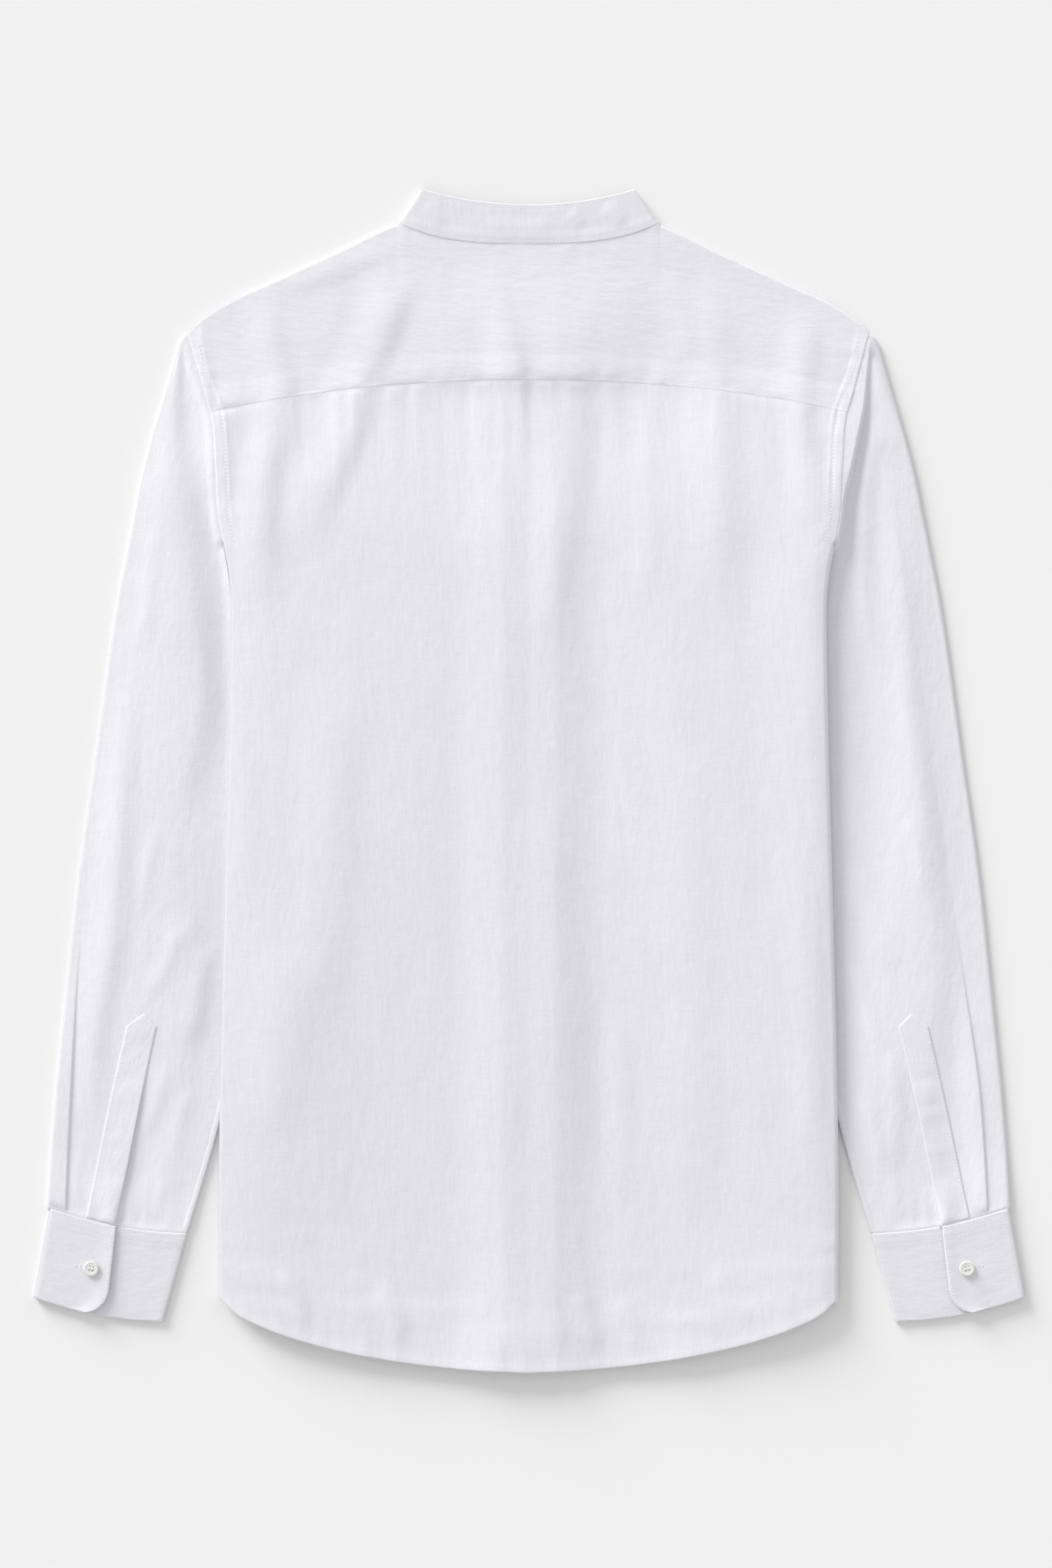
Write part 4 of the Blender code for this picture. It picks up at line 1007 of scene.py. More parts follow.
def back_half(side, step):
    side_top = yoke_seam(HALF_YOKE)
    side_foot = hem(body_edge(CORNER_Y))
    down = marks(side_top - side_foot, step, RIM, RIM)[:, None]
    y_edge = side_top + down * (side_foot - side_top)
    axis, angle = fold_line(y_edge, side)
    across = marks(HALF_YOKE, step, end=BESIDE_ARMHOLE)[None, :]
    x = axis * across
    top = yoke_seam(x)
    y = top + down * (hem(x) - top)
    y = y + SEAM_TUCK * ease(1 - down * (side_top - side_foot) / 2.5)
    main = stacked(x, y, back_surface(side * x, y))
    flap, inwards = body_flap(axis, y_edge, down, hem, 0.0, step)
    head, foot = main[:, -1, 2][:, None], flap[:, 0, 2][:, None]
    level, rise = (head + foot) / 2, (head - foot) / 2
    turn = ridge(axis, level, FOLD_REACH[side], rise, main[:, -1:, 1], y_edge, angle)
    grid = joined(main, turn, flap)
    turned = FOLD_REACH[side] * HALF_TURN * angle / math.pi
    grain_x = joined(x, axis + 1.1 * turned, axis + 10 + inwards)
    grid = cut_above_fold(grid, y_edge, main.shape[1] + turn.shape[1])
    grid[(y_edge[:, 0] >= sum(FOLD_TURNS_OVER[side])), main.shape[1] :] = np.nan
    grid[..., 0] *= side
    pale = np.where(np.isnan(grid[..., 0]), 0, paleness_of_body(grid[..., 0], grid[..., 1], False))
    return grid, np.stack([side * grain_x, grid[..., 1]], axis=-1), pale


def both_halves(half):
    """The left half turned round and joined to the right one at the middle column."""
    left, right = half(-1), half(1)
    return [np.concatenate([a[:, :0:-1], b], axis=1) for a, b in zip(left, right)]


def upper_stitches():
    """The lines of stitches on the back and the yoke."""
    wall = cloth_settings().wall
    seam_x = np.linspace(-HALF_YOKE + 1, HALF_YOKE - 1, 400)
    on_yoke = [on_top(seam_x, yoke_seam(seam_x) + EDGE_STITCH, yoke_surface, wall)]
    hem_x = np.linspace(-200, 200, 400)
    on_back = [on_top(hem_x, hem(hem_x) + HEM_STITCH, back_surface, wall)]
    for side in (-1, 1):
        y = np.linspace(298, yoke_seam(HALF_YOKE) + 3, 60)
        on_yoke.append(on_top(side * (body_edge(y) - ARMHOLE_STITCH), y, yoke_surface, wall, -0.05))
        y = np.linspace(yoke_seam(HALF_YOKE) - 1, FOLD_START + 2, 120)
        on_back.append(on_top(side * (body_edge(y) - ARMHOLE_STITCH), y, back_surface, wall, -0.05))
    return on_yoke, on_back


class SHIRT_OT_back(bpy.types.Operator):
    """Make the back panel, folded under along both sides"""

    bl_idname = "shirt.back"
    bl_label = "Back"

    def execute(self, context):
        settings = context.scene.shirt_cloth
        grid, grain, pale = both_halves(lambda side: back_half(side, settings.grid))
        back = facing_up(lay_cloth("back_linen", grid, grain, pale, settings.wall))
        take_place(back, "back")
        declare("back", [sew("back_stitches", upper_stitches()[1])])
        return {"FINISHED"}


# ---------------------------------------------------------------- yoke


def shoulder_outward(x):
    step = 2.0
    ahead = min(x + step, SHOULDER_END)
    rise = (shoulder(ahead) - shoulder(x - step)) / (ahead - (x - step))
    length = math.hypot(rise, 1.0)
    return -rise / length, 1.0 / length


def yoke_foot(x_head):
    x = between(NECK_HALF, FRONT_YOKE_END, (x_head - NECK_HALF) / (SHOULDER_END - NECK_HALF))
    neck_inset = NECK_HALF - front_neck_x(front_yoke_seam(NECK_HALF))
    x -= neck_inset * ease(1 - (x - NECK_HALF) / 25)
    return x, front_yoke_seam(x) + 0.4


def yoke_column(x_foot, x_head, at_neck, side, step):
    """A line up the yoke from its seam, and over the shoulder to the front's edge if not at the neck."""
    rise = NECK_SIDE_Y - YOKE_SEAM_TOP
    up = marks(rise, step, RIM, RIM)
    under = np.linspace(0, 1, 10)
    if at_neck:
        head = back_neck(x_head) + SEAM_TUCK
        x = between(x_foot, x_head, up)
        y = yoke_seam(x) + up * (head - yoke_seam(x))
        rest = np.full((len(HALF_TURN) + len(under), 3), np.nan)
        return np.concatenate([stacked(x, y, yoke_surface(side * x, y)), rest])
    out_x, out_y = shoulder_outward(x_head)
    under_x, under_y = x_head - out_x * 5, shoulder(x_head) - out_y * 5
    low = ON_SURFACE + sleeve_lift(under_x, under_y)
    top = back_height(side * under_x, under_y)
    radius = (top - low) / 2
    reach = radius if side > 0 else 0.35 * radius
    inset = reach + 0.3
    head = (x_head - out_x * inset, shoulder(x_head) - out_y * inset)
    x = between(x_foot, head[0], up)
    y = yoke_seam(x_foot) + up * (head[1] - yoke_seam(x_foot))
    upper = stacked(x, y, blended(yoke_surface(side * x, y), top, up**6))
    reach = reach * np.sin(HALF_TURN)
    z = low + radius * (1 + np.cos(HALF_TURN))
    turn = stacked(head[0] + out_x * reach, head[1] + out_y * reach, z)
    foot_x, foot_y = yoke_foot(x_head)
    y = between(head[1], foot_y, under)
    x = np.maximum(between(head[0], foot_x, under), front_neck_x(y) + 0.4)
    return np.concatenate([upper, turn, stacked(x, y, ON_SURFACE + sleeve_lift(x, y))])


def yoke_half(side, step):
    neck = NECK_HALF + 1.0
    foot_end = body_edge(yoke_seam(HALF_YOKE)) - 0.3
    columns = [yoke_column(neck * s, neck * s, True, side, step) for s in marks(neck, step)[:-1]]
    for share in marks(foot_end - neck, step, (0.8, 2.0), BESIDE_ARMHOLE):
        x_foot, x_head = between(neck, foot_end, share), between(neck, YOKE_HEAD_END, share)
        columns.append(yoke_column(x_foot, x_head, False, side, step))
    grid = np.stack(columns, axis=1)
    grain = np.stack([yoke_seam(grid[..., 0]) + run_along(grid), side * grid[..., 0]], axis=-1)
    grid[..., 0] *= side
    pale = paleness_of_body(grid[..., 0], grid[..., 1], True)
    return grid, np.nan_to_num(grain), np.nan_to_num(pale)


class SHIRT_OT_yoke(bpy.types.Operator):
    """Make the yoke, which goes over both shoulders"""

    bl_idname = "shirt.yoke"
    bl_label = "Yoke"

    def execute(self, context):
        settings = context.scene.shirt_cloth
        grid, grain, pale = both_halves(lambda side: yoke_half(side, settings.grid))
        yoke = facing_up(lay_cloth("yoke_linen", grid, grain, pale, settings.wall))
        take_place(yoke, "yoke")
        declare("yoke", [sew("yoke_stitches", upper_stitches()[0])])
        return {"FINISHED"}


# ---------------------------------------------------------------- fronts


def front_surface(x, y, crosses):
    rise = creases(x, y, FRONT_CREASES) + crumple(x, y, "fronts")
    free = ease((np.abs(x) - PLACKET_HALF - 6) / 14)
    return front_height(x, y, crosses) + np.maximum(rise, 0) * free


def front_grid(crosses, step):
    """The front on the +X side, from its middle edge to the end of its flap."""
    side_top = front_yoke_seam(FRONT_YOKE_END)
    side_foot = front_hem(body_edge(CORNER_Y))
    down = marks(side_top - side_foot, step, RIM, RIM)[:, None]
    y_edge = side_top + down * (side_foot - side_top)
    folded = before(y_edge, (FOLD_START + 10, 22.0))
    inset = curve(FRONT_ARMHOLE, "y", "inset", y_edge)
    axis = fold_line(y_edge, 1 if crosses else -1)[0]
    run = blended(body_edge(y_edge) - inset, axis - 0.6, folded)
    start = -PLACKET_HALF if crosses else PLACKET_HALF + 0.4
    beside_middle = start + (NECK_HALF - start) * marks(NECK_HALF - start, step, (0.6, 1.8))[:-1]
    across = marks(120.0, step)[None, :]
    x = joined(
        np.broadcast_to(beside_middle, (len(down), len(beside_middle))),
        between(NECK_HALF, run, across),
    )
    top = np.minimum(front_neck(x), front_yoke_seam(x)) - 0.6
    y = between(top, front_hem(x), down)
    main = stacked(x, y, front_surface(x, y, crosses))
    flap, inwards = body_flap(run, y_edge, down, front_hem, LAYER, step)
    head, foot = main[:, -1, 2][:, None], flap[:, 0, 2][:, None]
    turn = ridge(run, (head + foot) / 2, 1.6, (head - foot) / 2, main[:, -1:, 1], y_edge)
    grid = cut_above_fold(joined(main, turn, flap), y_edge, main.shape[1])
    grain_x = joined(x, run + 1.5 * HALF_TURN, run + 5 + inwards)
    pale = 1 - ease((grid[..., 1] - front_hem(grid[..., 0]) - HEM_DEPTH) / 1.5)
    return grid, np.stack([grain_x, grid[..., 1]], axis=-1), np.nan_to_num(pale)


def front_hem_stitches(side, crosses):
    x = np.linspace(PLACKET_HALF + 2, 205, 160)
    y = front_hem(x) + HEM_STITCH
    return stacked(side * x, y, front_surface(x, y, crosses) - cloth_settings().wall / 2)


def placket_level():
    return ON_SURFACE + OVER_BUTTONS


class SHIRT_OT_fronts(bpy.types.Operator):
    """Make both fronts, which lie face down beneath the back, and the strip with the buttonholes"""

    bl_idname = "shirt.fronts"
    bl_label = "Fronts"

    def execute(self, context):
        settings = context.scene.shirt_cloth
        for name, crosses, side in (("front_left", False, -1), ("front_right", True, 1)):
            grid, grain, pale = front_grid(crosses, settings.under_grid)
            grid[..., 0] *= side
            grain[..., 0] *= side
            front = facing_up(lay_cloth(f"{name}_linen", grid, grain, pale, settings.wall), False)
            take_place(front, name)
            stitches = sew(f"{name}_stitches", [front_hem_stitches(side, crosses)])
            declare(name, [stitches])
        self.make_placket(settings)
        return {"FINISHED"}

    def make_placket(self, settings):
        """The strip under the right front, whose buttonholes the buttons show through."""
        length = FRONT_NECK_Y - front_hem(0)
        down = marks(length, settings.grid, RIM, RIM)[:, None]
        x = PLACKET_HALF * (2 * marks(2 * PLACKET_HALF, settings.grid, RIM, RIM)[None, :] - 1)
        top = front_neck(x) - 0.4
        y = top + down * (front_hem(x) - top)
        level = placket_level() + 0.06 * ripple(x, y, 9, 21, 81)
        grid = stacked(x, y, level)
        grain = grid[..., :2].copy()
        placket = facing_up(lay_cloth("front_placket_linen", grid, grain, 1.0, settings.wall), False)
        take_place(placket, "front_placket")
        y = np.linspace(FRONT_NECK_Y - 4, front_hem(0) + 2, 300)
        x, level = PLACKET_HALF - FRONT_PLACKET_STITCH, placket_level() - settings.wall / 2
        lines = [stacked(at * x, y, level) for at in (-1, 1)]
        declare("front_placket", [sew("front_placket_stitches", lines)])


# ---------------------------------------------------------------- sleeves


def sleeve_sag(y, share):
    return CUFF_SAG * np.sin(np.pi * share) * before(y, SAG_FALL)


def tuck_x(outer_x, y, word):
    """The x of the tuck's fold above the cuff."""
    return outer_x - curve(CUFF_TUCK, "y", word, y)


def cuff_level(share):
    """The level of the cuff's upper side, at a share across from its outer edge."""
    lap = ease((share - CUFF_OVER_END + 0.03) / 0.06)
    return between(CUFF_LEVELS["upper_lap"], CUFF_LEVELS["lower_lap"], lap)


def sewn_to_body(x, y, word):
    """1 on the sleeve where it follows the armhole's edge, 0 where it is free."""
    strip = np.maximum(curve(SEWN_STRIP[word], "y", "x", y) - body_edge(y), 0.5)
    return (1 - ease((x - body_edge(y) - strip) / ARMHOLE_ROUND[word])) * past(y, ATTACHED)


def through_knots(x, places, heights):
    """A smooth line through knots, level at its highs and lows."""
    slopes = [
        (high - low) / (end - start)
        for low, high, start, end in zip(heights, heights[1:], places, places[1:])
    ]
    tangents = [slopes[0]]
    for before_it, after_it in zip(slopes, slopes[1:]):
        total = np.where(before_it + after_it == 0, 1, before_it + after_it)
        tangents.append(np.where(before_it * after_it > 0, 2 * before_it * after_it / total, 0))
    tangents.append(slopes[-1])
    z = heights[0] + 0 * x
    for k in range(len(slopes)):
        span = places[k + 1] - places[k]
        t = np.clip((x - places[k]) / span, 0, 1)
        bend = (1 - t) * span * t * (tangents[k] * (1 - t) - tangents[k + 1] * t)
        z = np.where(x > places[k], heights[k] + (heights[k + 1] - heights[k]) * ease(t) + bend, z)
    return z


def sleeve_rise(x, y, outer_x, inner_x, word):
    """The height of the sleeve's upper layer at x, between its outer and inner edge."""
    table = SLEEVE_SECTIONS[word]
    knots = sum(key.startswith("x") for key in table)
    edge = body_edge(y)
    head = back_height(SIDES[word] * (edge - 0.5), y) - 0.7
    strip = curve(SEWN_STRIP[word], "y", "x", y) + ARMHOLE_ROUND[word]
    start = np.maximum(inner_x, np.where((strip > edge) & (y > ATTACHED[0]), strip, edge))
    places = [np.minimum(start, outer_x - 3.2)]
    heights = [np.minimum(curve(table, "y", "beside", y), head)]
    for k in range(1, knots + 1):
        place = np.clip(curve(table, "y", f"x{k}", y), places[-1] + 0.4, None)
        places.append(np.minimum(place, outer_x - 0.5 * (knots + 1 - k)))
        heights.append(curve(table, "y", f"z{k}", y))
    rise = through_knots(x, places + [outer_x], heights + [curve(table, "y", "edge", y)])
    return SLEEVE_FLAT + (rise - SLEEVE_FLAT) * ease((x - edge + 0.95) / 0.9)


def sleeve_relief(x, y, outer_x, inner_x, word):
    """Creases and small waves, dying out at the edges and where the body lies on the sleeve."""
    side = SIDES[word]
    free = ease((outer_x - x) / 30) ** 0.75
    free = free * np.where(inner_x > body_edge(y), ease((x - inner_x) / 8), ease((x - body_edge(y)) / 8))
    waves = crumple(side * x, y, f"{word}_sleeve")
    above_cuff = y - CUFF_SEAM["y"] + CUFF_SEAM["slope"] * (CUFF_SEAM["x"] - x)
    relief = creases(side * x, y, SLEEVE_CREASES[word]) + waves + puckers(x, above_cuff, "above_cuff")
    relief = relief * free
    inside = x - inner_x
    seam = FELLED_RISE * (1 - ease((inside - FELLED_SEAM) / 0.7)) * before(y, SLEEVE_SEAM_Y)
    lap = CUFF_TUCK["lap"] * ease((CUFF_TUCK["top_y"] - y) / CUFF_TUCK["length"])
    past_tuck = x - tuck_x(outer_x, y, word)
    step = ease(past_tuck / CUFF_TUCK["step"])
    lap = lap * (step if word == "left" else (1 - step) * ease(1 + past_tuck / CUFF_TUCK["swell"]))
    return relief + seam + lap - slit_drop(x, y, word)


def sleeve_row(y):
    """The places of a sleeve's edges at y, below the armhole."""
    columns = zip(SLEEVE_COLUMNS, SLEEVE_ROWS.T)
    return {name: np.interp(-y, -SLEEVE_ROWS[:, 1], column) for name, column in columns}


def placket_edges(down, word):
    """The shares across the sleeve of its placket's outer and inner edge."""
    at = dict(zip(PLACKET_COLUMNS, SLEEVE_PLACKET[word]))
    return [between(at[f"{edge}_top"], at[f"{edge}_foot"], down) for edge in ("outer", "inner")]


def slit_drop(x, y, word):
    """How much lower the sleeve lies past the free edge of its placket, down to the cuff."""
    row = sleeve_row(y)
    down = np.clip((PLACKET_TOP_Y - y) / (PLACKET_TOP_Y - SLEEVE[-1][1]), 0, 1)
    past_edge = between(row["outer_x"], row["inner_x"], placket_edges(down, word)[1]) + 1.0 - x
    below_bar = past((PLACKET_TOP_Y - y), (PLACKET_BAR, 85.0))
    above_cuff = ease((1 - down) * 4.4)
    beside = ease(past_edge / 2.5) * (1 - ease((past_edge - 6) / 34))
    return SLIT_DROP * below_bar * beside * above_cuff


class Sleeve:
    """The rows of a sleeve on the +X side, from the shoulder to inside the cuff."""

    OUTER_MARKS = np.array([0, 1.2, 2.6])
    TUCK_MARKS = np.array([-1.6, -0.9, -0.45, 0, 0.5, 1.6])
    INNER_MARKS = np.array([0, 0.9, 1.7, 2.2, 2.7, 3.5])
    BODY_MARKS = np.array([-0.5, 0.1, 0.6, 1.6, 3.0])
    INTO_CUFF = 2.6

    def __init__(self, word, step):
        self.word = word
        self.side = SIDES[word]
        table = np.array(SLEEVE, float)
        along = run_along(table[:, :2])
        at = along[-1] * marks(along[-1], step, (0.7, 2.0), (0.8, 2.0, 4.0))
        self.along = at[:, None]
        self.row = {
            name: through(along, table[:, k], at)[:, None] for k, name in enumerate(SLEEVE_COLUMNS)
        }
        self.closed = at >= along[FIRST_CLOSED_ROW] - 1e-6
        for name in ("inner_x", "inner_y", "inner_z"):
            linear = np.interp(at, along, table[:, SLEEVE_COLUMNS.index(name)])[:, None]
            self.row[name] = np.where(self.closed[:, None], self.row[name], linear)
        self.attach(table)

    def attach(self, table):
        """Moves the inner edge of the open rows to just beneath the body's edge in the armhole."""
        y = self.row["inner_y"]
        rim_x, rim_z = armhole_rim(np.minimum(y, table[0, 3]), self.side)
        sewn = past(y, ATTACHED)
        for name, target in (("inner_x", rim_x - SEAM_LAP), ("inner_z", rim_z - SEAM_SINK)):
            self.row[name] = blended(self.row[name], target, sewn)

    def ends(self):
        r = self.row
        outer = np.stack([r["outer_x"] - SLEEVE_TURNS[self.word] - 0.3, r["outer_y"]], axis=-1)
        inner = np.stack([r["inner_x"], r["inner_y"]], axis=-1)
        low = np.stack([r["low_x"], r["low_y"]], axis=-1)
        inwards = outer - inner
        inwards = inwards / np.linalg.norm(inwards, axis=-1, keepdims=True)
        tube = self.closed[:, None, None]
        inner = np.where(tube, inner + inwards * (UNDERARM_ROUND + CLOTH / 2), inner)
        return outer, inner, np.where(tube, inner, low)

    def upper_shares(self, width, body_at):
        """Columns of the upper layer, closer beside its edges, the body's edge and the tuck."""
        narrow = np.minimum(1.0, width / 45)
        tuck = -tuck_x(0, self.row["outer_y"], self.word) + self.TUCK_MARKS
        outer_marks = np.broadcast_to(self.OUTER_MARKS, (len(width), len(self.OUTER_MARKS)))
        outer_marks = joined(outer_marks, tuck) * narrow
        inner_marks = self.INNER_MARKS * narrow
        first, last = inner_marks[:, -1:], width - outer_marks[:, -1:]
        span = last - first
        middle = np.clip(body_at, first + np.minimum(1.5, 0.25 * span), last - 0.35 * span)
        middle = middle + self.BODY_MARKS * narrow
        inside = first + (middle[:, :1] - first) * np.linspace(0, 1, 15)[:-1]
        outside = middle[:, -1:] + (last - middle[:, -1:]) * np.linspace(0, 1, 31)[1:]
        columns = inner_marks[:, :-1], inside, middle, outside, width - outer_marks[:, -2::-1]
        return joined(*columns) / width

    def grid(self, step):
        outer, inner, low = self.ends()
        width = np.maximum(outer[..., 0] - inner[..., 0], 0.3)
        share = self.upper_shares(width, body_edge(inner[..., 1]) - inner[..., 0])
        place = between(inner, outer, share[..., None])
        x, y = place[..., 0], place[..., 1]
        to_cuff = self.along[-1] - self.along
        z = sleeve_rise(x, y, outer[..., 0], inner[..., 0], self.word)
        z = levelled(z, y, 1 - share)
        z = z + sleeve_relief(x, y, outer[..., 0], inner[..., 0], self.word)
        sewn = sewn_to_body(x, y, self.word)
        z = blended(z, self.row["inner_z"], sewn)
        z = blended(z, cuff_level(1 - share), ease(1 - to_cuff / 3.5))
        upper = stacked(x, y - sleeve_sag(y, share), z)
        middle_z = (upper[:, -1:, 2] + ON_SURFACE) / 2
        reach, half = SLEEVE_TURNS[self.word], middle_z - ON_SURFACE
        turn = ridge(outer[..., 0], middle_z, reach, half, y[:, -1:], y[:, -1:])
        share = marks(110.0, step * 1.5)[None, :]
        place = between(outer, low, share[..., None])
        wave = 0.5 * np.maximum(crumple(place[..., 0], place[..., 1], "sleeve_undersides"), 0)
        wave = wave * ease(share / 0.1) * ease((1 - share) / 0.1)
        under_y = place[..., 1] - sleeve_sag(place[..., 1], share)
        under = stacked(place[..., 0], under_y, ON_SURFACE + wave)
        gap = (z[:, :1] - ON_SURFACE) / 2
        inner_turn = ridge(low[..., 0], ON_SURFACE + gap, -UNDERARM_ROUND, gap, low[..., 1], low[..., 1])
        inner_turn = inner_turn[:, ::-1]
        inner_turn[~self.closed] = np.nan
        grid = joined(upper, turn, under, inner_turn)
        return self.past_cuff_edge(grid)

    def past_cuff_edge(self, grid):
        """Runs the last row on into the cuff, a little further down the sleeve."""
        step = grid[-1] - grid[-2]
        step[:, 2] = 0
        step = step / np.linalg.norm(step, axis=-1, keepdims=True) * self.INTO_CUFF
        self.closed = np.append(self.closed, True)
        self.along = np.concatenate([self.along, self.along[-1:] + self.INTO_CUFF])
        return np.concatenate([grid, (grid[-1] + step)[None]])

    def grain(self, grid):
        """Places on the cut cloth: down the sleeve, and across from its outer edge."""
        across = run_along(grid, 1)
        middle = np.nanargmax(np.where(np.isnan(grid[..., 0]), -np.inf, grid[..., 0]), axis=1)
        across = across - across[np.arange(len(grid)), middle][:, None]
        return np.stack([across, np.broadcast_to(self.along, across.shape)], axis=-1)


def levelled(z, y, share):
    """The sleeve's height brought to the cuff's over the last few centimetres above the cuff."""
    end_y = between(SLEEVE[-1][1], SLEEVE[-1][3], share)
    return blended(z, cuff_level(share) - 0.2, ease(1 - (y - end_y) / 45))


def sleeve_top(y, share, word):
    """Points on the free part of the sleeve's upper layer, at shares across from its outer edge."""
    row = sleeve_row(y)
    x = between(row["outer_x"], row["inner_x"], share)
    slant = between(row["outer_y"], row["inner_y"], share)
    outer_x = row["outer_x"] - SLEEVE_TURNS[word] - 0.3
    z = levelled(sleeve_rise(x, slant, outer_x, row["inner_x"], word), slant, share)
    z = z + sleeve_relief(x, slant, outer_x, row["inner_x"], word) + slit_drop(x, slant, word)
    return x, slant - sleeve_sag(slant, share), z


def placket_place(down, across, word):
    """A point of the sleeve placket: y and the share across the sleeve from its outer edge."""
    outer, inner = placket_edges(down, word)
    peak = PLACKET_POINT * (1 - np.abs(2 * across - 1)) * ease(1 - down * 12)
    foot_y = SLEEVE[-1][1] - 2.4
    return PLACKET_TOP_Y + peak + (foot_y - PLACKET_TOP_Y) * down, between(outer, inner, across)


def placket_points(down, across, word):
    y, share = placket_place(down, across, word)
    x, y, z = sleeve_top(y, share, word)
    length = PLACKET_TOP_Y - SLEEVE[-1][1]
    free = past(down * length, (PLACKET_BAR, 30.0)) * ease((across - 0.1) / 0.9)
    ladder = 0.28 * ripple(across * 0, down * length, 1.0, 5.5, 91 + len(word)) * np.sin(np.pi * across)
    z = z + 0.62 + PLACKET_LIFT * free + ladder
    into_cuff = ease(1 - (1 - down) * length / 5)
    return x, y, blended(z, CUFF_LEVELS["upper_lap"] + 0.15, into_cuff)


class SHIRT_OT_sleeves(bpy.types.Operator):
    """Make both sleeves, which run down beside the body and under its folded edges"""

    bl_idname = "shirt.sleeves"
    bl_label = "Sleeves"

    def execute(self, context):
        settings = context.scene.shirt_cloth
        for word, side in SIDES.items():
            sleeve = Sleeve(word, settings.grid)
            grid = sleeve.grid(settings.grid)
            grain = sleeve.grain(grid)
            grid[..., 0] *= side
            name = f"sleeve_{word}"
            piece = lay_cloth(
                f"{name}_linen", grid, grain, SLEEVE_PALENESS, settings.wall, closed=sleeve.closed
            )
            take_place(piece, name)
            declare("sleeve")
        return {"FINISHED"}


class SHIRT_OT_sleeve_plackets(bpy.types.Operator):
    """Make the pointed strip over the slit of each sleeve"""

    bl_idname = "shirt.sleeve_plackets"
    bl_label = "Sleeve Plackets"

    def execute(self, context):
        settings = context.scene.shirt_cloth
        length = PLACKET_TOP_Y - SLEEVE[-1][1]
        down = marks(length, PLACKET_GRID, RIM, RIM)[:, None]
        across = marks(PLACKET_WIDTH, 2.0, RIM[:3], RIM[:3])[None, :]
        for word, side in SIDES.items():
            x, y, z = placket_points(down, across, word)
            grid = stacked(side * x, y, z)
            grain = stacked(across * PLACKET_WIDTH, down * length, 0)[..., :2]
            name = f"sleeve_placket_{word}"
            piece = facing_up(lay_cloth(f"{name}_linen", grid, grain, 0.0, settings.wall))
            take_place(piece, name)
            stitches = sew(f"{name}_stitches", self.lines(word, side, length))
            declare("sleeve_placket", [stitches])
        return {"FINISHED"}

    def lines(self, word, side, length):
        """Both edges, the point and the bar of the placket's stitches."""
        wall = cloth_settings().wall
        lines = []

        def add(down, across):
            x, y, z = placket_points(np.asarray(down, float), np.asarray(across, float), word)
            lines.append(stacked(side * x, y, z + wall / 2 - 0.05))

        inset = 0.08
        bar = PLACKET_BAR / length
        top = 1.8 / length
        add(np.linspace(top, 1, 150), np.full(150, inset))
        add(np.linspace(top, bar, 40), np.full(40, 1 - inset))
        add(np.full(30, top), np.linspace(inset, 1 - inset, 30))
        for shift in (0.0, 1.3 / length):
            add(np.full(30, bar + shift), np.linspace(inset, 1 - inset, 30))
        return lines


# ---------------------------------------------------------------- cuffs


def cuff_point(share, down, level):
    """A point of the flat cuff: share across from the outer edge, down from its top edge."""
    top = [between(a, b, share) for a, b in zip(*CUFF_TOP)]
    foot = [between(a, b, share) for a, b in zip(*CUFF_FOOT)]
    x, y = (between(a, b, down) for a, b in zip(top, foot))
    return x, y - CUFF_SAG * np.sin(np.pi * np.clip(share, 0, 1)), level + 0 * x


def over_end(down):
    """The share across where the upper lap ends, with its rounded corner at the foot."""
    cut = np.clip((down * CUFF_HEIGHT - (CUFF_HEIGHT - CUFF_CORNER)) / CUFF_CORNER, 0, 1)
    corner = CUFF_CORNER / CUFF_WIDTH * (1 - np.sqrt(1 - cut**2))
    return CUFF_OVER_END + CUFF_OVER_SLANT * down - corner


def cuff_relief(x, y, down, seed):
    """The doubled cuff: slightly wavy, thin at its edges, with the ridge over its seam allowance."""
    from_top = down * CUFF_HEIGHT
    ledge = 0.16 * (1 - ease((from_top - SECOND_CUFF_STITCH) / 1.5))
    grooves = sum(bell(from_top - at, BAND_GROOVE_HALF) for at in CUFF_STITCHES)
    waves = 0.14 * ripple(x, y, 21, 17, seed) + 0.07 * ripple(x, y, 7, 9, seed + 1)
    return waves + ledge - CUFF_GROOVE * grooves


def lap_lift(share, down):
    """The free end of the upper lap stands up a little, most at the foot."""
    return CUFF_LIFT * (0.45 + 0.55 * down) * ease((share - over_end(down) + 0.13) / 0.13)


def cuff_turn(share, down, low, high, outward):
    """The half turn of the cuff at one of its folds."""
    x, y = cuff_point(share, down, 0)[:2]
    reach = (CUFF_LEVELS["lower_lap"] - CUFF_LEVELS["under"]) / 2
    turn = ridge(x, (low + high) / 2, reach, (high - low) / 2, y, y)
    turn[..., 0] = x + outward * (turn[..., 0] - x)
    return turn


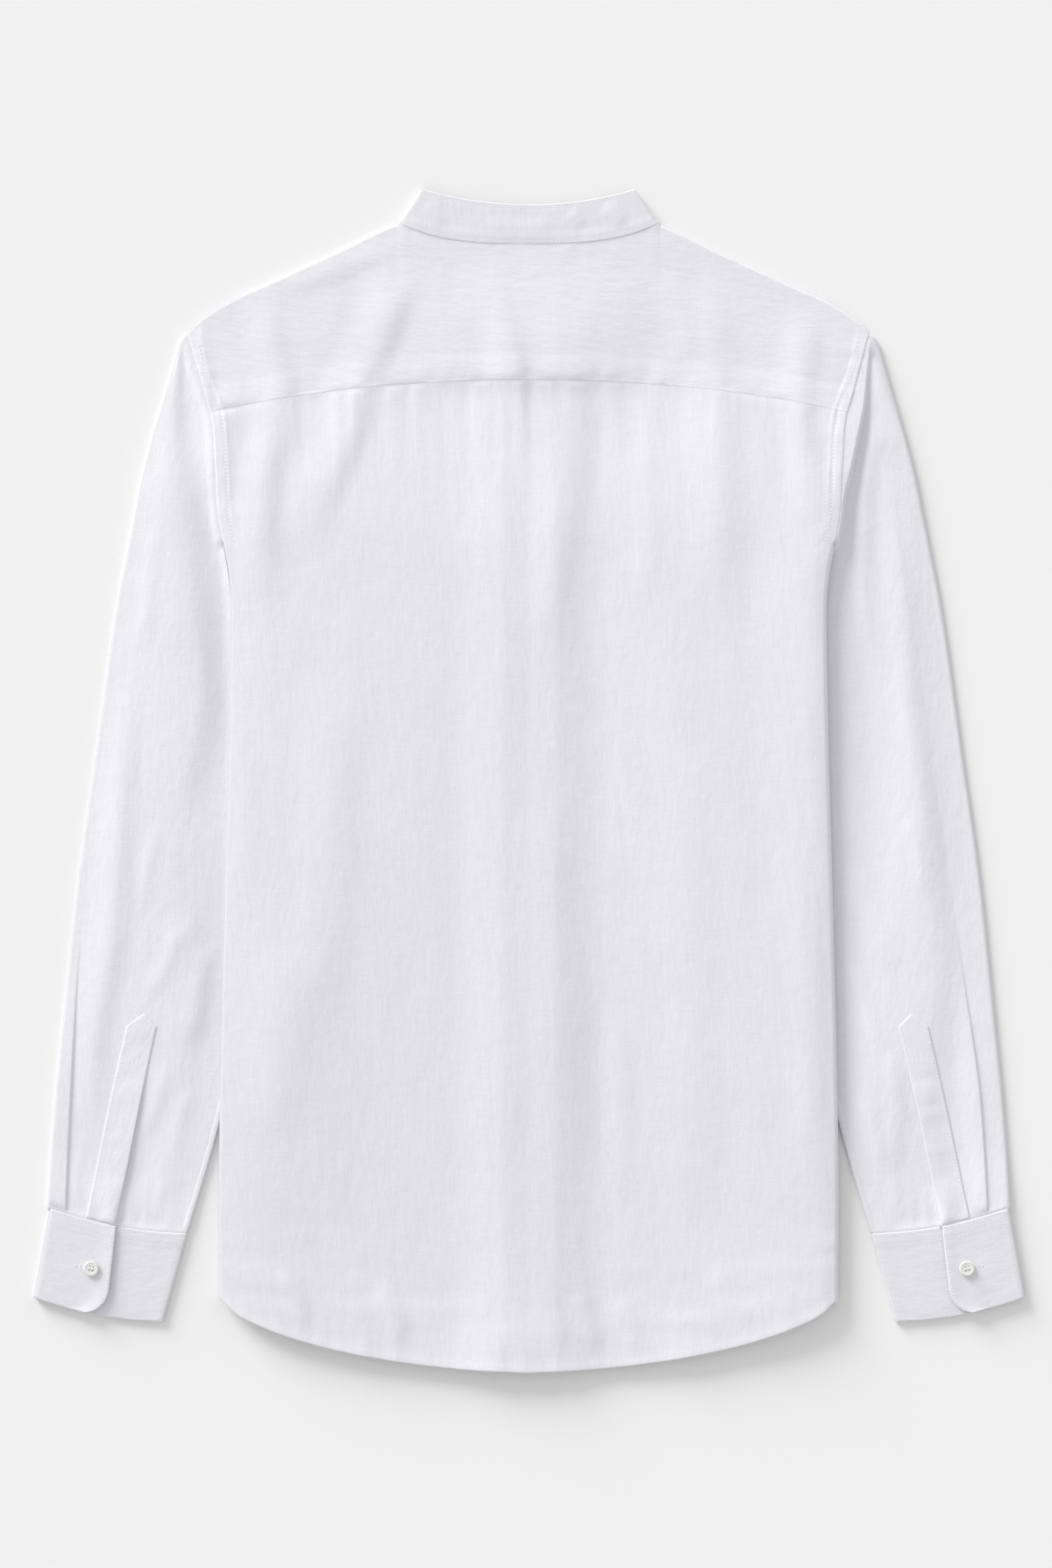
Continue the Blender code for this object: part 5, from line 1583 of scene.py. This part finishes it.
def cuff_grid(step):
    """The cuff's strip once round: hidden end, inner fold, underside, outer fold, upper end."""
    down = marks(CUFF_HEIGHT, step, RIM, RIM)[:, None]
    outer_fold, inner_fold = CUFF_FOLDS
    under, lower, upper = CUFF_LEVELS["under"], CUFF_LEVELS["lower_lap"], CUFF_LEVELS["upper_lap"]

    def flat(start, end, level, seed, rim=(), lift=0):
        share = marks(CUFF_WIDTH * 0.5, step, (), rim)[None, :]
        at = start + (end - start) * share
        x, y, z = cuff_point(at, down, level)
        edge = ease(np.minimum(at - outer_fold, inner_fold - at) / 0.06)
        return stacked(x, y, z + cuff_relief(x, y, down, seed) * edge + lift * lap_lift(at, down))

    lower_side = flat(CUFF_UNDER_END, inner_fold, lower, 31)
    inner_turn = cuff_turn(inner_fold, down, under, lower, -1)
    share = np.linspace(inner_fold, outer_fold, 20)[None, :]
    underside = stacked(*cuff_point(share, down, under))
    outer_turn = cuff_turn(outer_fold, down, under, upper, 1)[:, ::-1]
    upper_side = flat(outer_fold, over_end(down), upper, 35, RIM, 1)
    return joined(lower_side, inner_turn, underside, outer_turn, upper_side)


def cuff_lines(side, wall):
    """Both rows along the top edge, the row along the foot and the row at the upper end."""
    lines = []

    def add(share, down, level, seed):
        x, y, z = cuff_point(share, down, level)
        z = z + cuff_relief(x, y, down, seed) + wall / 2 - 0.04
        z = z + (level == CUFF_LEVELS["upper_lap"]) * lap_lift(share, down)
        lines.append(stacked(side * x, y, z))

    inner_fold = CUFF_FOLDS[1] - 0.012
    end_inset = 2.2 / CUFF_WIDTH
    for from_top in CUFF_STITCHES:
        down = from_top / CUFF_HEIGHT
        stop = over_end(down) - end_inset
        if from_top > CUFF_HEIGHT / 2:
            stop = CUFF_OVER_END + CUFF_OVER_SLANT - CUFF_CORNER / CUFF_WIDTH
        start = (CUFF_OVER_END + 0.01) + CUFF_OVER_SLANT * down
        add(np.linspace(CUFF_FOLDS[0], stop, 120), np.full(120, down), CUFF_LEVELS["upper_lap"], 35)
        add(np.linspace(start, inner_fold, 120), np.full(120, down), CUFF_LEVELS["lower_lap"], 31)
    down = np.linspace(FIRST_CUFF_STITCH / CUFF_HEIGHT, 1 - FIRST_CUFF_STITCH / CUFF_HEIGHT, 200)
    raised = np.clip(down * 1.035, 0, 1)
    add(over_end(raised) - end_inset, down, CUFF_LEVELS["upper_lap"], 35)
    return lines


def buttonhole_lines(side, wall):
    """Two close rows of thread, with the slit between them, and a bar at the outer end."""
    x_button, y_button = BUTTON_PLACES["cuff_button_right"]
    edge = np.array(CUFF_TOP[0]) - np.array(CUFF_TOP[1])
    along = edge / np.linalg.norm(edge)
    across = np.array([-along[1], along[0]])
    z = CUFF_LEVELS["upper_lap"] + wall / 2
    start = np.array([x_button, y_button]) + along * BUTTONHOLE["from_button"]
    lines = []

    def add(first, last, count, level):
        spots = [between(first, last, share) for share in np.linspace(0, 1, count)]
        lines.append(np.array([(side * x, y, level) for x, y in spots]))

    for at in (-1, 1):
        for row in (0, BUTTONHOLE["row"]):
            first = start + across * at * (BUTTONHOLE["half_gap"] + row)
            add(first, first + along * BUTTONHOLE["length"], 20, z)
    for back in (0, BUTTONHOLE["bar_row"]):
        end = start + along * (BUTTONHOLE["length"] - back)
        half = across * BUTTONHOLE["half_bar"]
        add(end - half, end + half, 8, z + 0.05)
    return lines


class SHIRT_OT_cuffs(bpy.types.Operator):
    """Make both cuffs, buttoned, with their rounded upper end"""

    bl_idname = "shirt.cuffs"
    bl_label = "Cuffs"

    def execute(self, context):
        settings = context.scene.shirt_cloth
        wall = settings.band_wall
        for word, side in SIDES.items():
            grid = cuff_grid(CUFF_GRID)
            across = run_along(grid, 1)
            down = np.broadcast_to(np.linspace(0, CUFF_HEIGHT, len(grid))[:, None], across.shape)
            grain = np.stack([down, across], axis=-1)
            grid[..., 0] *= side
            piece = lay_cloth(f"cuff_{word}_linen", grid, grain, CUFF_PALENESS, wall)
            take_place(piece, f"cuff_{word}")
            lines = cuff_lines(side, wall) + buttonhole_lines(side, wall)
            declare("cuff", [sew(f"cuff_{word}_stitches", lines)])
        return {"FINISHED"}


# ---------------------------------------------------------------- collar


def collar_line(up, crosses, step):
    """One line round half the band, from the middle of the back to the front end."""
    fold = [between(a, b, up) for a, b in zip(COLLAR_FOLD_FOOT, COLLAR_FOLD_TOP)]
    radius = (COLLAR_LEVEL - COLLAR_LOW) / 2
    reach = fold[0] - COLLAR_TURN - 0.6
    x = reach * marks(80.0, step, (), (0.8, 2.0))
    foot = back_neck(x * NECK_HALF / COLLAR_FOLD_FOOT[0]) - 0.6
    head = COLLAR_BACK_TOP + (COLLAR_FOLD_TOP[1] - COLLAR_BACK_TOP) * (x / COLLAR_FOLD_TOP[0]) ** 2
    y = np.minimum(between(foot, head, up), fold[1])
    back = stacked(x, y, COLLAR_LEVEL)
    front_end_y = y[-1] - COLLAR_TURN_DROP
    turn = ridge(reach, COLLAR_LOW + radius, COLLAR_TURN, radius, y[-1], front_end_y)
    x = between(reach, -PLACKET_HALF, marks(COLLAR_FRONT_RUN, step, (), RIM))
    foot = round_neck(x, COLLAR_FOLD_FOOT[0] - 1, front_end_y, FRONT_NECK_Y + 1.2)
    head = round_neck(x, COLLAR_FOLD_TOP[0], front_end_y, FRONT_NECK_Y + COLLAR_FRONT_HEIGHT)
    over = OVER_BUTTONS + (BAND + 0.4 if crosses else 0)
    z = COLLAR_LOW + over * ease(1 - (x - PLACKET_HALF) / COLLAR_LAP_RISE)
    front = stacked(x, between(foot, head, up), z)
    return np.concatenate([back, turn, front]), len(x) + len(HALF_TURN)


def collar_relief(x, y, up):
    """The band's creases, its waves, the ledge of its seam allowance and its stitches' grooves."""
    rise = creases(x, y, COLLAR_CREASES)
    waves = 0.2 * ripple(x, y, 23, 14, 51) + 0.1 * ripple(x, y, 9, 8, 52)
    height = up * COLLAR_FRONT_HEIGHT
    grooves = bell(height - COLLAR_STITCH, BAND_GROOVE_HALF)
    grooves = grooves + bell(height - COLLAR_FRONT_HEIGHT + COLLAR_STITCH, BAND_GROOVE_HALF)
    return rise + waves + 0.35 * before(height, (9.0, 4.0)) - COLLAR_GROOVE * grooves


def collar_half(side, step):
    ups = marks(COLLAR_FRONT_HEIGHT, 2.2, RIM, RIM)
    rows = []
    for up in ups:
        line, front_points = collar_line(up, side > 0, step)
        back_points = len(line) - front_points
        rise = collar_relief(side * line[:back_points, 0], line[:back_points, 1], up)
        line[:back_points, 2] += rise * ease((len(rise) - np.arange(len(rise))) / 5)
        rows.append(line)
    grid = np.stack(rows)
    across = side * run_along(grid, 1)
    grain = stacked(across, ups[:, None] * COLLAR_FRONT_HEIGHT, 0)[..., :2]
    grid[..., 0] *= side
    return grid, grain


def collar_stitches(grid, wall):
    """Rows of stitches near the band's foot and its top, on the face that shows."""
    middle = grid.shape[1] // 2
    width = middle - int(round(COLLAR_FRONT_RUN / COLLAR_GRID)) - len(HALF_TURN)
    lines = []
    for row in (3, -4):
        line = grid[row, middle - width + 3 : middle + width - 2].copy()
        line[:, 2] += wall / 2 - 0.04
        lines.append(line)
    return lines


class SHIRT_OT_collar(bpy.types.Operator):
    """Make the stand collar band, folded flat at the sides of the neck"""

    bl_idname = "shirt.collar"
    bl_label = "Collar Band"

    def execute(self, context):
        wall = context.scene.shirt_cloth.band_wall
        grid, grain = both_halves(lambda side: collar_half(side, COLLAR_GRID))
        piece = facing_up(lay_cloth("collar_band_linen", grid, grain, COLLAR_PALENESS, wall))
        take_place(piece, "collar_band")
        stitches = sew("collar_band_stitches", collar_stitches(grid, wall))
        declare("collar_band", [stitches])
        return {"FINISHED"}


# ---------------------------------------------------------------- buttons

BUTTON_PROFILE = {
    "radius": (0, 0.5, 0.78, 0.94, 1, 1, 0.97, 0.9, 0.82, 0.76, 0.7, 0.62, 0.45, 0),
    "height": (0, 0, 0.06, 0.24, 0.45, 0.66, 0.86, 0.98, 1, 0.98, 0.94, 0.91, 0.89, 0.88),
}
BUTTON_SIDES = 40
EYE_RADIUS = 0.055  # as shares of the button's width
EYE_FROM_MIDDLE = 0.155
BUTTON_THREAD = {"width": 0.32, "arch": 0.34, "dip": 0.5}  # in millimetres
BUTTON_THREAD_LEVEL = 0.84  # as a share of the button's height
BUTTON_THREAD_SIDES = 8


def as_mesh(shape, name):
    mesh = bpy.data.meshes.new(name)
    shape.to_mesh(mesh)
    shape.free()
    return mesh


def button_mesh(across):
    """A turned button with a raised rim and four eyes, its back at z 0."""
    shape = bmesh.new()
    profile = zip(BUTTON_PROFILE["radius"], BUTTON_PROFILE["height"])
    verts = [shape.verts.new((r * across / 2 * MM, 0, z * BUTTON_HEIGHT * MM)) for r, z in profile]
    edges = [shape.edges.new(pair) for pair in zip(verts, verts[1:])]
    bmesh.ops.spin(
        shape, geom=verts + edges, cent=(0, 0, 0), axis=(0, 0, 1), angle=math.tau, steps=BUTTON_SIDES
    )
    bmesh.ops.remove_doubles(shape, verts=shape.verts, dist=1e-6)
    bmesh.ops.recalc_face_normals(shape, faces=shape.faces)
    return with_eyes(as_mesh(shape, f"button_{across:g}"), across)


def eye_places(across):
    turns = [math.tau * (k + 0.5) / 4 for k in range(4)]
    reach = EYE_FROM_MIDDLE * across * MM
    return [(reach * math.cos(turn), reach * math.sin(turn)) for turn in turns]


def with_eyes(mesh, across):
    """The mesh with its four eyes cut through."""
    cutter_shape = bmesh.new()
    radius = EYE_RADIUS * across * MM
    for x, y in eye_places(across):
        pin = bmesh.ops.create_cone(
            cutter_shape, cap_ends=True, segments=14, radius1=radius, radius2=radius, depth=12 * MM
        )
        bmesh.ops.translate(cutter_shape, verts=pin["verts"], vec=(x, y, 0))
    whole = placed("button_whole", mesh)
    cutter = placed("eye_pins", as_mesh(cutter_shape, "eye_pins"))
    cut = whole.modifiers.new("eyes", "BOOLEAN")
    cut.object = cutter
    graph = bpy.context.evaluated_depsgraph_get()
    made = bpy.data.meshes.new_from_object(whole.evaluated_get(graph))
    made.name = mesh.name + "_eyes"
    made.shade_smooth()
    made.set_sharp_from_angle(angle=math.radians(40))
    for helper in (whole, cutter):
        bpy.data.objects.remove(helper)
    made.materials.clear()
    made.materials.append(shell_finish())
    return made


def thread_mesh(across):
    """The sewing thread: two bars, each from eye to eye, three strands each, on the button's face."""
    shape = bmesh.new()
    places = eye_places(across)
    width, arch, dip = (value * MM for value in BUTTON_THREAD.values())
    turns = np.linspace(0, math.tau, BUTTON_THREAD_SIDES, endpoint=False)
    for first, second in ((0, 3), (1, 2)):
        for strand in (-1, 0, 1):
            shift = np.array([strand * width * 0.95, 0])
            rings = []
            for share in np.linspace(0, 1, 9):
                x, y = between(places[first] + shift, places[second] + shift, share)
                z = BUTTON_HEIGHT * BUTTON_THREAD_LEVEL * MM + arch * math.sin(math.pi * share)
                z = z - dip * abs(2 * share - 1) ** 6
                spots = [(x + width / 2 * math.cos(t), y, z + width / 2 * math.sin(t)) for t in turns]
                rings.append([shape.verts.new(spot) for spot in spots])
            for low, high in zip(rings, rings[1:]):
                for k in range(BUTTON_THREAD_SIDES):
                    n = (k + 1) % BUTTON_THREAD_SIDES
                    shape.faces.new((low[k], low[n], high[n], high[k]))
            shape.faces.new(rings[0])
            shape.faces.new(rings[-1])
    bmesh.ops.recalc_face_normals(shape, faces=shape.faces)
    mesh = as_mesh(shape, f"button_thread_{across:g}")
    mesh.materials.append(thread_finish())
    mesh.shade_smooth()
    return mesh


class SHIRT_OT_buttons(bpy.types.Operator):
    """Make the cuff, collar and front buttons with their threads"""

    bl_idname = "shirt.buttons"
    bl_label = "Buttons"

    def execute(self, context):
        settings = context.scene.shirt_buttons
        widths = {"cuff": settings.cuff_width, "front": settings.front_width}
        meshes = {kind: (button_mesh(across), thread_mesh(across)) for kind, across in widths.items()}
        for node, (x, y) in BUTTON_PLACES.items():
            on_cuff = node.startswith("cuff")
            low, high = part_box(node)
            level = low.z if on_cuff else high.z
            turn = math.radians(-13 if node.endswith("left") else 13)
            shell, thread = meshes["cuff" if on_cuff else "front"]
            shell, thread = placed(f"{node}_shell", shell), placed(f"{node}_thread", thread)
            for piece in (shell, thread):
                piece.location = (x * MM, y * MM, level)
                piece.rotation_euler = (0, 0, turn) if on_cuff else (math.pi, 0, 0)
            take_place(shell, node)
            take_place(thread, None)
        return {"FINISHED"}


# ---------------------------------------------------------------- finishes


class Wire:
    """A value in a material; Python's arithmetic on it adds Math nodes."""

    def __init__(self, finish, socket):
        self.finish, self.socket = finish, socket

    def maths(self, operation, first, second=0.0):
        node = self.finish.add("ShaderNodeMath", {"operation": operation}, {0: first, 1: second})
        return Wire(self.finish, node.outputs[0])

    def __add__(self, other):
        return self.maths("ADD", self, other)

    __radd__ = __add__

    def __sub__(self, other):
        return self.maths("SUBTRACT", self, other)

    def __rsub__(self, other):
        return self.maths("SUBTRACT", other, self)

    def __mul__(self, other):
        return self.maths("MULTIPLY", self, other)

    __rmul__ = __mul__

    def sine(self):
        return self.maths("SINE", self)

    def clamped(self):
        node = self.finish.add("ShaderNodeClamp", {}, {0: self})
        return Wire(self.finish, node.outputs[0])


class Finish:
    """A material under construction."""

    def __init__(self, name, **constants):
        self.material = bpy.data.materials.new(name)
        self.material.use_nodes = True
        self.nodes = self.material.node_tree.nodes
        self.shader = self.nodes["Principled BSDF"]
        for socket, value in constants.items():
            self.shader.inputs[socket.replace("_", " ")].default_value = value

    def add(self, kind, settings, sockets):
        """A node with its settings, then the values or links of its sockets."""
        node = self.nodes.new(kind)
        for name, value in settings.items():
            setattr(node, name, value)
        for key, value in sockets.items():
            self.feed(node.inputs[key], value)
        return node

    def feed(self, socket, value):
        if isinstance(value, Wire):
            value = value.socket
        if isinstance(value, bpy.types.NodeSocket):
            self.material.node_tree.links.new(value, socket)
        else:
            socket.default_value = value

    def show(self, name, value):
        """Feeds one of the shader's own sockets."""
        self.feed(self.shader.inputs[name], value)

    def value(self, socket):
        return Wire(self, socket)

    def attribute(self, name):
        return self.value(self.add("ShaderNodeAttribute", {"attribute_name": name}, {}).outputs["Fac"])

    def place(self):
        """The place on the object itself: x, y and z, in metres."""
        place = self.add("ShaderNodeTexCoord", {}, {})
        split = self.add("ShaderNodeSeparateXYZ", {}, {0: place.outputs["Object"]})
        return [self.value(socket) for socket in split.outputs]

    def grain(self):
        """The place on the cut cloth, in millimetres: across the warp and along it."""
        place = self.add("ShaderNodeUVMap", {"uv_map": "grain"}, {})
        split = self.add("ShaderNodeSeparateXYZ", {}, {0: place.outputs[0]})
        return self.value(split.outputs[0]), self.value(split.outputs[1])

    def noise(self, u, v, detail, roughness=0.5):
        """Noise between 0 and 1 at a place of two values."""
        place = self.add("ShaderNodeCombineXYZ", {}, {0: u, 1: v})
        node = self.add(
            "ShaderNodeTexNoise",
            {"noise_dimensions": "2D"},
            {"Vector": place.outputs[0], "Scale": 1.0, "Detail": detail, "Roughness": roughness},
        )
        return self.value(node.outputs[0])

    def mix(self, factor, first, second):
        first, second = [(*c, 1) if isinstance(c, tuple) else c for c in (first, second)]
        node = self.add("ShaderNodeMix", {"data_type": "RGBA"}, {0: factor, 6: first, 7: second})
        return node.outputs[2]

    def bump(self, height):
        """Normals for a height in metres."""
        node = self.add("ShaderNodeBump", {}, {"Strength": 1.0, "Distance": 1.0, "Height": height})
        return node.outputs[0]


THREAD_SPACING = 0.56  # of the linen's warp and weft
PAINTED_SHADE_SHARE = 0.72  # share of the colour that is left where shade is painted on linen that faces the key light
TONE = {"yarns": 1.15, "slubs": 0.1, "clouds": 0.42, "weave": 0.03, "paleness": 0.3, "middle": 0.62}
LINEN_RELIEF = {"yarns": 0.00004, "weave": 0.00001, "wrinkles": 0.00034}  # in metres


def linen_finish():
    """Plain-woven linen: uneven yarns both ways, slubs, and small creases left by wear and the iron."""
    made = bpy.data.materials.get("white_linen_weave")
    if made:
        return made
    settings = cloth_settings()
    finish = Finish("white_linen_weave", Roughness=0.92, Sheen_Weight=0.06, Sheen_Roughness=0.5)
    u, v = finish.grain()
    warp = finish.noise(u * 1.5, v * 0.028, 3.0, 0.62)
    weft = finish.noise(u * 0.05, v * 1.5, 3.0, 0.62)
    warp_slub = ((finish.noise(u * 0.8 + 40.0, v * 0.05, 1.0) - 0.6) * 4.5).clamped()
    weft_slub = ((finish.noise(u * 0.06, v * 0.8 + 70.0, 1.0) - 0.62) * 4.5).clamped()
    cloudy = finish.noise(u * 0.03, v * 0.02, 3.0)
    weave_turn = math.tau / THREAD_SPACING / 2
    weave = (u * weave_turn).sine() * (v * weave_turn).sine()
    wrinkle = finish.noise(u * 0.16 + v * 0.03, v * 0.07, 4.0, 0.6)
    tone = (warp + weft - 1.0) * TONE["yarns"] + (warp_slub + weft_slub) * TONE["slubs"]
    tone = tone + (cloudy - 0.5) * TONE["clouds"] + weave * TONE["weave"]
    tone = tone + finish.attribute("paleness") * TONE["paleness"] + TONE["middle"]
    linen = finish.mix(tone.clamped(), tuple(settings.thin_colour), tuple(settings.colour))
    # Painted shade: the linen's colour is darkened where the cloth faces the key light, to hold back its
    # highlights.
    edge = tuple(channel * PAINTED_SHADE_SHARE for channel in settings.thin_colour)
    finish.show("Base Color", finish.mix(finish.attribute("turned"), linen, edge))
    height = (warp + weft) * LINEN_RELIEF["yarns"]
    height = height + weave * LINEN_RELIEF["weave"] + wrinkle * LINEN_RELIEF["wrinkles"]
    finish.show("Normal", finish.bump(height))
    finish.show("Roughness", 0.96 - warp_slub * 0.08)
    return finish.material


def thread_finish():
    """Twisted sewing thread."""
    made = bpy.data.materials.get("sewing_thread")
    if made:
        return made
    colour = tuple(bpy.context.scene.shirt_stitches.colour)
    finish = Finish("sewing_thread", Roughness=0.7, Sheen_Weight=0.1)
    x, y, z = finish.place()
    twist = ((x + y + z * 2.0) * (math.tau / (0.35 * MM))).sine() * 0.5 + 0.5
    darker = tuple(c * 0.93 for c in colour)
    finish.show("Base Color", finish.mix(twist, darker, colour))
    finish.show("Normal", finish.bump(twist * 0.00003))
    return finish.material


def shell_finish():
    """Milky shell: glossy, faintly clouded in rings."""
    made = bpy.data.materials.get("milky_shell")
    if made:
        return made
    colour = tuple(bpy.context.scene.shirt_buttons.colour)
    finish = Finish("milky_shell", Roughness=0.25, Coat_Weight=0.3, Coat_Roughness=0.1, IOR=1.53)
    x, y = finish.place()[:2]
    cloud = finish.noise(x * 420.0, y * 900.0, 3.0, 0.6)
    cooler = (colour[0] * 0.93, colour[1] * 0.95, colour[2] * 0.99)
    finish.show("Base Color", finish.mix(((cloud - 0.3) * 2.2).clamped(), colour, cooler))
    finish.show("Roughness", cloud * 0.2 + 0.16)
    return finish.material


def floor_finish():
    """Matt paper white, very faintly clouded."""
    finish = Finish("pale_floor", Roughness=0.9)
    colour = tuple(bpy.context.scene.shirt_stage.floor_colour)
    x, y = finish.place()[:2]
    cloud = finish.noise(x * 1.2, y * 1.2, 1.0)
    finish.show("Base Color", finish.mix(cloud, tuple(c * 0.995 for c in colour), colour))
    return finish.material


# ---------------------------------------------------------------- stage

VIEW_HEIGHT = 1.0734  # of the floor that the camera sees, in metres
VIEW_CENTRE = (-0.0021, -0.0021)
SENSOR = 36.0
FLOOR_SIDE = 14.0


class SHIRT_OT_stage(bpy.types.Operator):
    """Make the floor, the light and the camera straight above"""

    bl_idname = "shirt.stage"
    bl_label = "Stage"

    def execute(self, context):
        settings = context.scene.shirt_stage
        half = FLOOR_SIDE / 2
        corners = [(-half, -half, 0), (half, -half, 0), (half, half, 0), (-half, half, 0)]
        mesh = bpy.data.meshes.new("floor")
        mesh.from_pydata(corners, [], [(0, 1, 2, 3)])
        mesh.materials.append(floor_finish())
        placed("floor", mesh)
        self.light(context, settings)
        self.camera(context, settings)
        context.scene.view_settings.view_transform = "Standard"
        return {"FINISHED"}

    def light(self, context, settings):
        key = bpy.data.lights.new("key", "SUN")
        key.energy = settings.key_strength
        key.angle = settings.key_softness
        lamp = placed("key", key)
        lamp.rotation_euler = (math.pi / 2 - settings.key_height, 0, settings.key_turn + math.pi / 2)
        world = bpy.data.worlds.new("fill")
        world.use_nodes = True
        background = world.node_tree.nodes["Background"]
        background.inputs["Color"].default_value = (1, 1, 1, 1)
        background.inputs["Strength"].default_value = settings.fill_strength
        context.scene.world = world

    def camera(self, context, settings):
        data = bpy.data.cameras.new("camera")
        data.sensor_width = SENSOR
        data.lens = SENSOR * settings.distance / VIEW_HEIGHT
        camera = placed("camera", data)
        camera.location = (*VIEW_CENTRE, settings.distance)
        context.scene.camera = camera


# ---------------------------------------------------------------- panel and registration

OPERATORS = (
    SHIRT_OT_back,
    SHIRT_OT_yoke,
    SHIRT_OT_fronts,
    SHIRT_OT_sleeves,
    SHIRT_OT_sleeve_plackets,
    SHIRT_OT_cuffs,
    SHIRT_OT_collar,
    SHIRT_OT_buttons,
    SHIRT_OT_stage,
)
SETTINGS = {
    "shirt_cloth": ShirtClothSettings,
    "shirt_stitches": ShirtStitchSettings,
    "shirt_buttons": ShirtButtonSettings,
    "shirt_stage": ShirtStageSettings,
}


class SHIRT_PT_panel(bpy.types.Panel):
    """The shirt's settings and pieces"""

    bl_idname = "SHIRT_PT_panel"
    bl_label = "Shirt"
    bl_space_type = "VIEW_3D"
    bl_region_type = "UI"
    bl_category = "Shirt"

    def draw(self, context):
        for name in SETTINGS:
            settings = getattr(context.scene, name)
            box = self.layout.box()
            for key in settings.__annotations__:
                box.prop(settings, key)
        for operator in OPERATORS:
            self.layout.operator(operator.bl_idname)


def register():
    for made in (*SETTINGS.values(), *OPERATORS, SHIRT_PT_panel):
        bpy.utils.register_class(made)
    for name, made in SETTINGS.items():
        setattr(bpy.types.Scene, name, PointerProperty(type=made))


def unregister():
    for name in SETTINGS:
        delattr(bpy.types.Scene, name)
    for made in (SHIRT_PT_panel, *reversed(OPERATORS), *SETTINGS.values()):
        bpy.utils.unregister_class(made)


def main():
    register()
    for operator in OPERATORS:
        group, name = operator.bl_idname.split(".")
        getattr(getattr(bpy.ops, group), name)()
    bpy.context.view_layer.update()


if __name__ == "__main__":
    main()
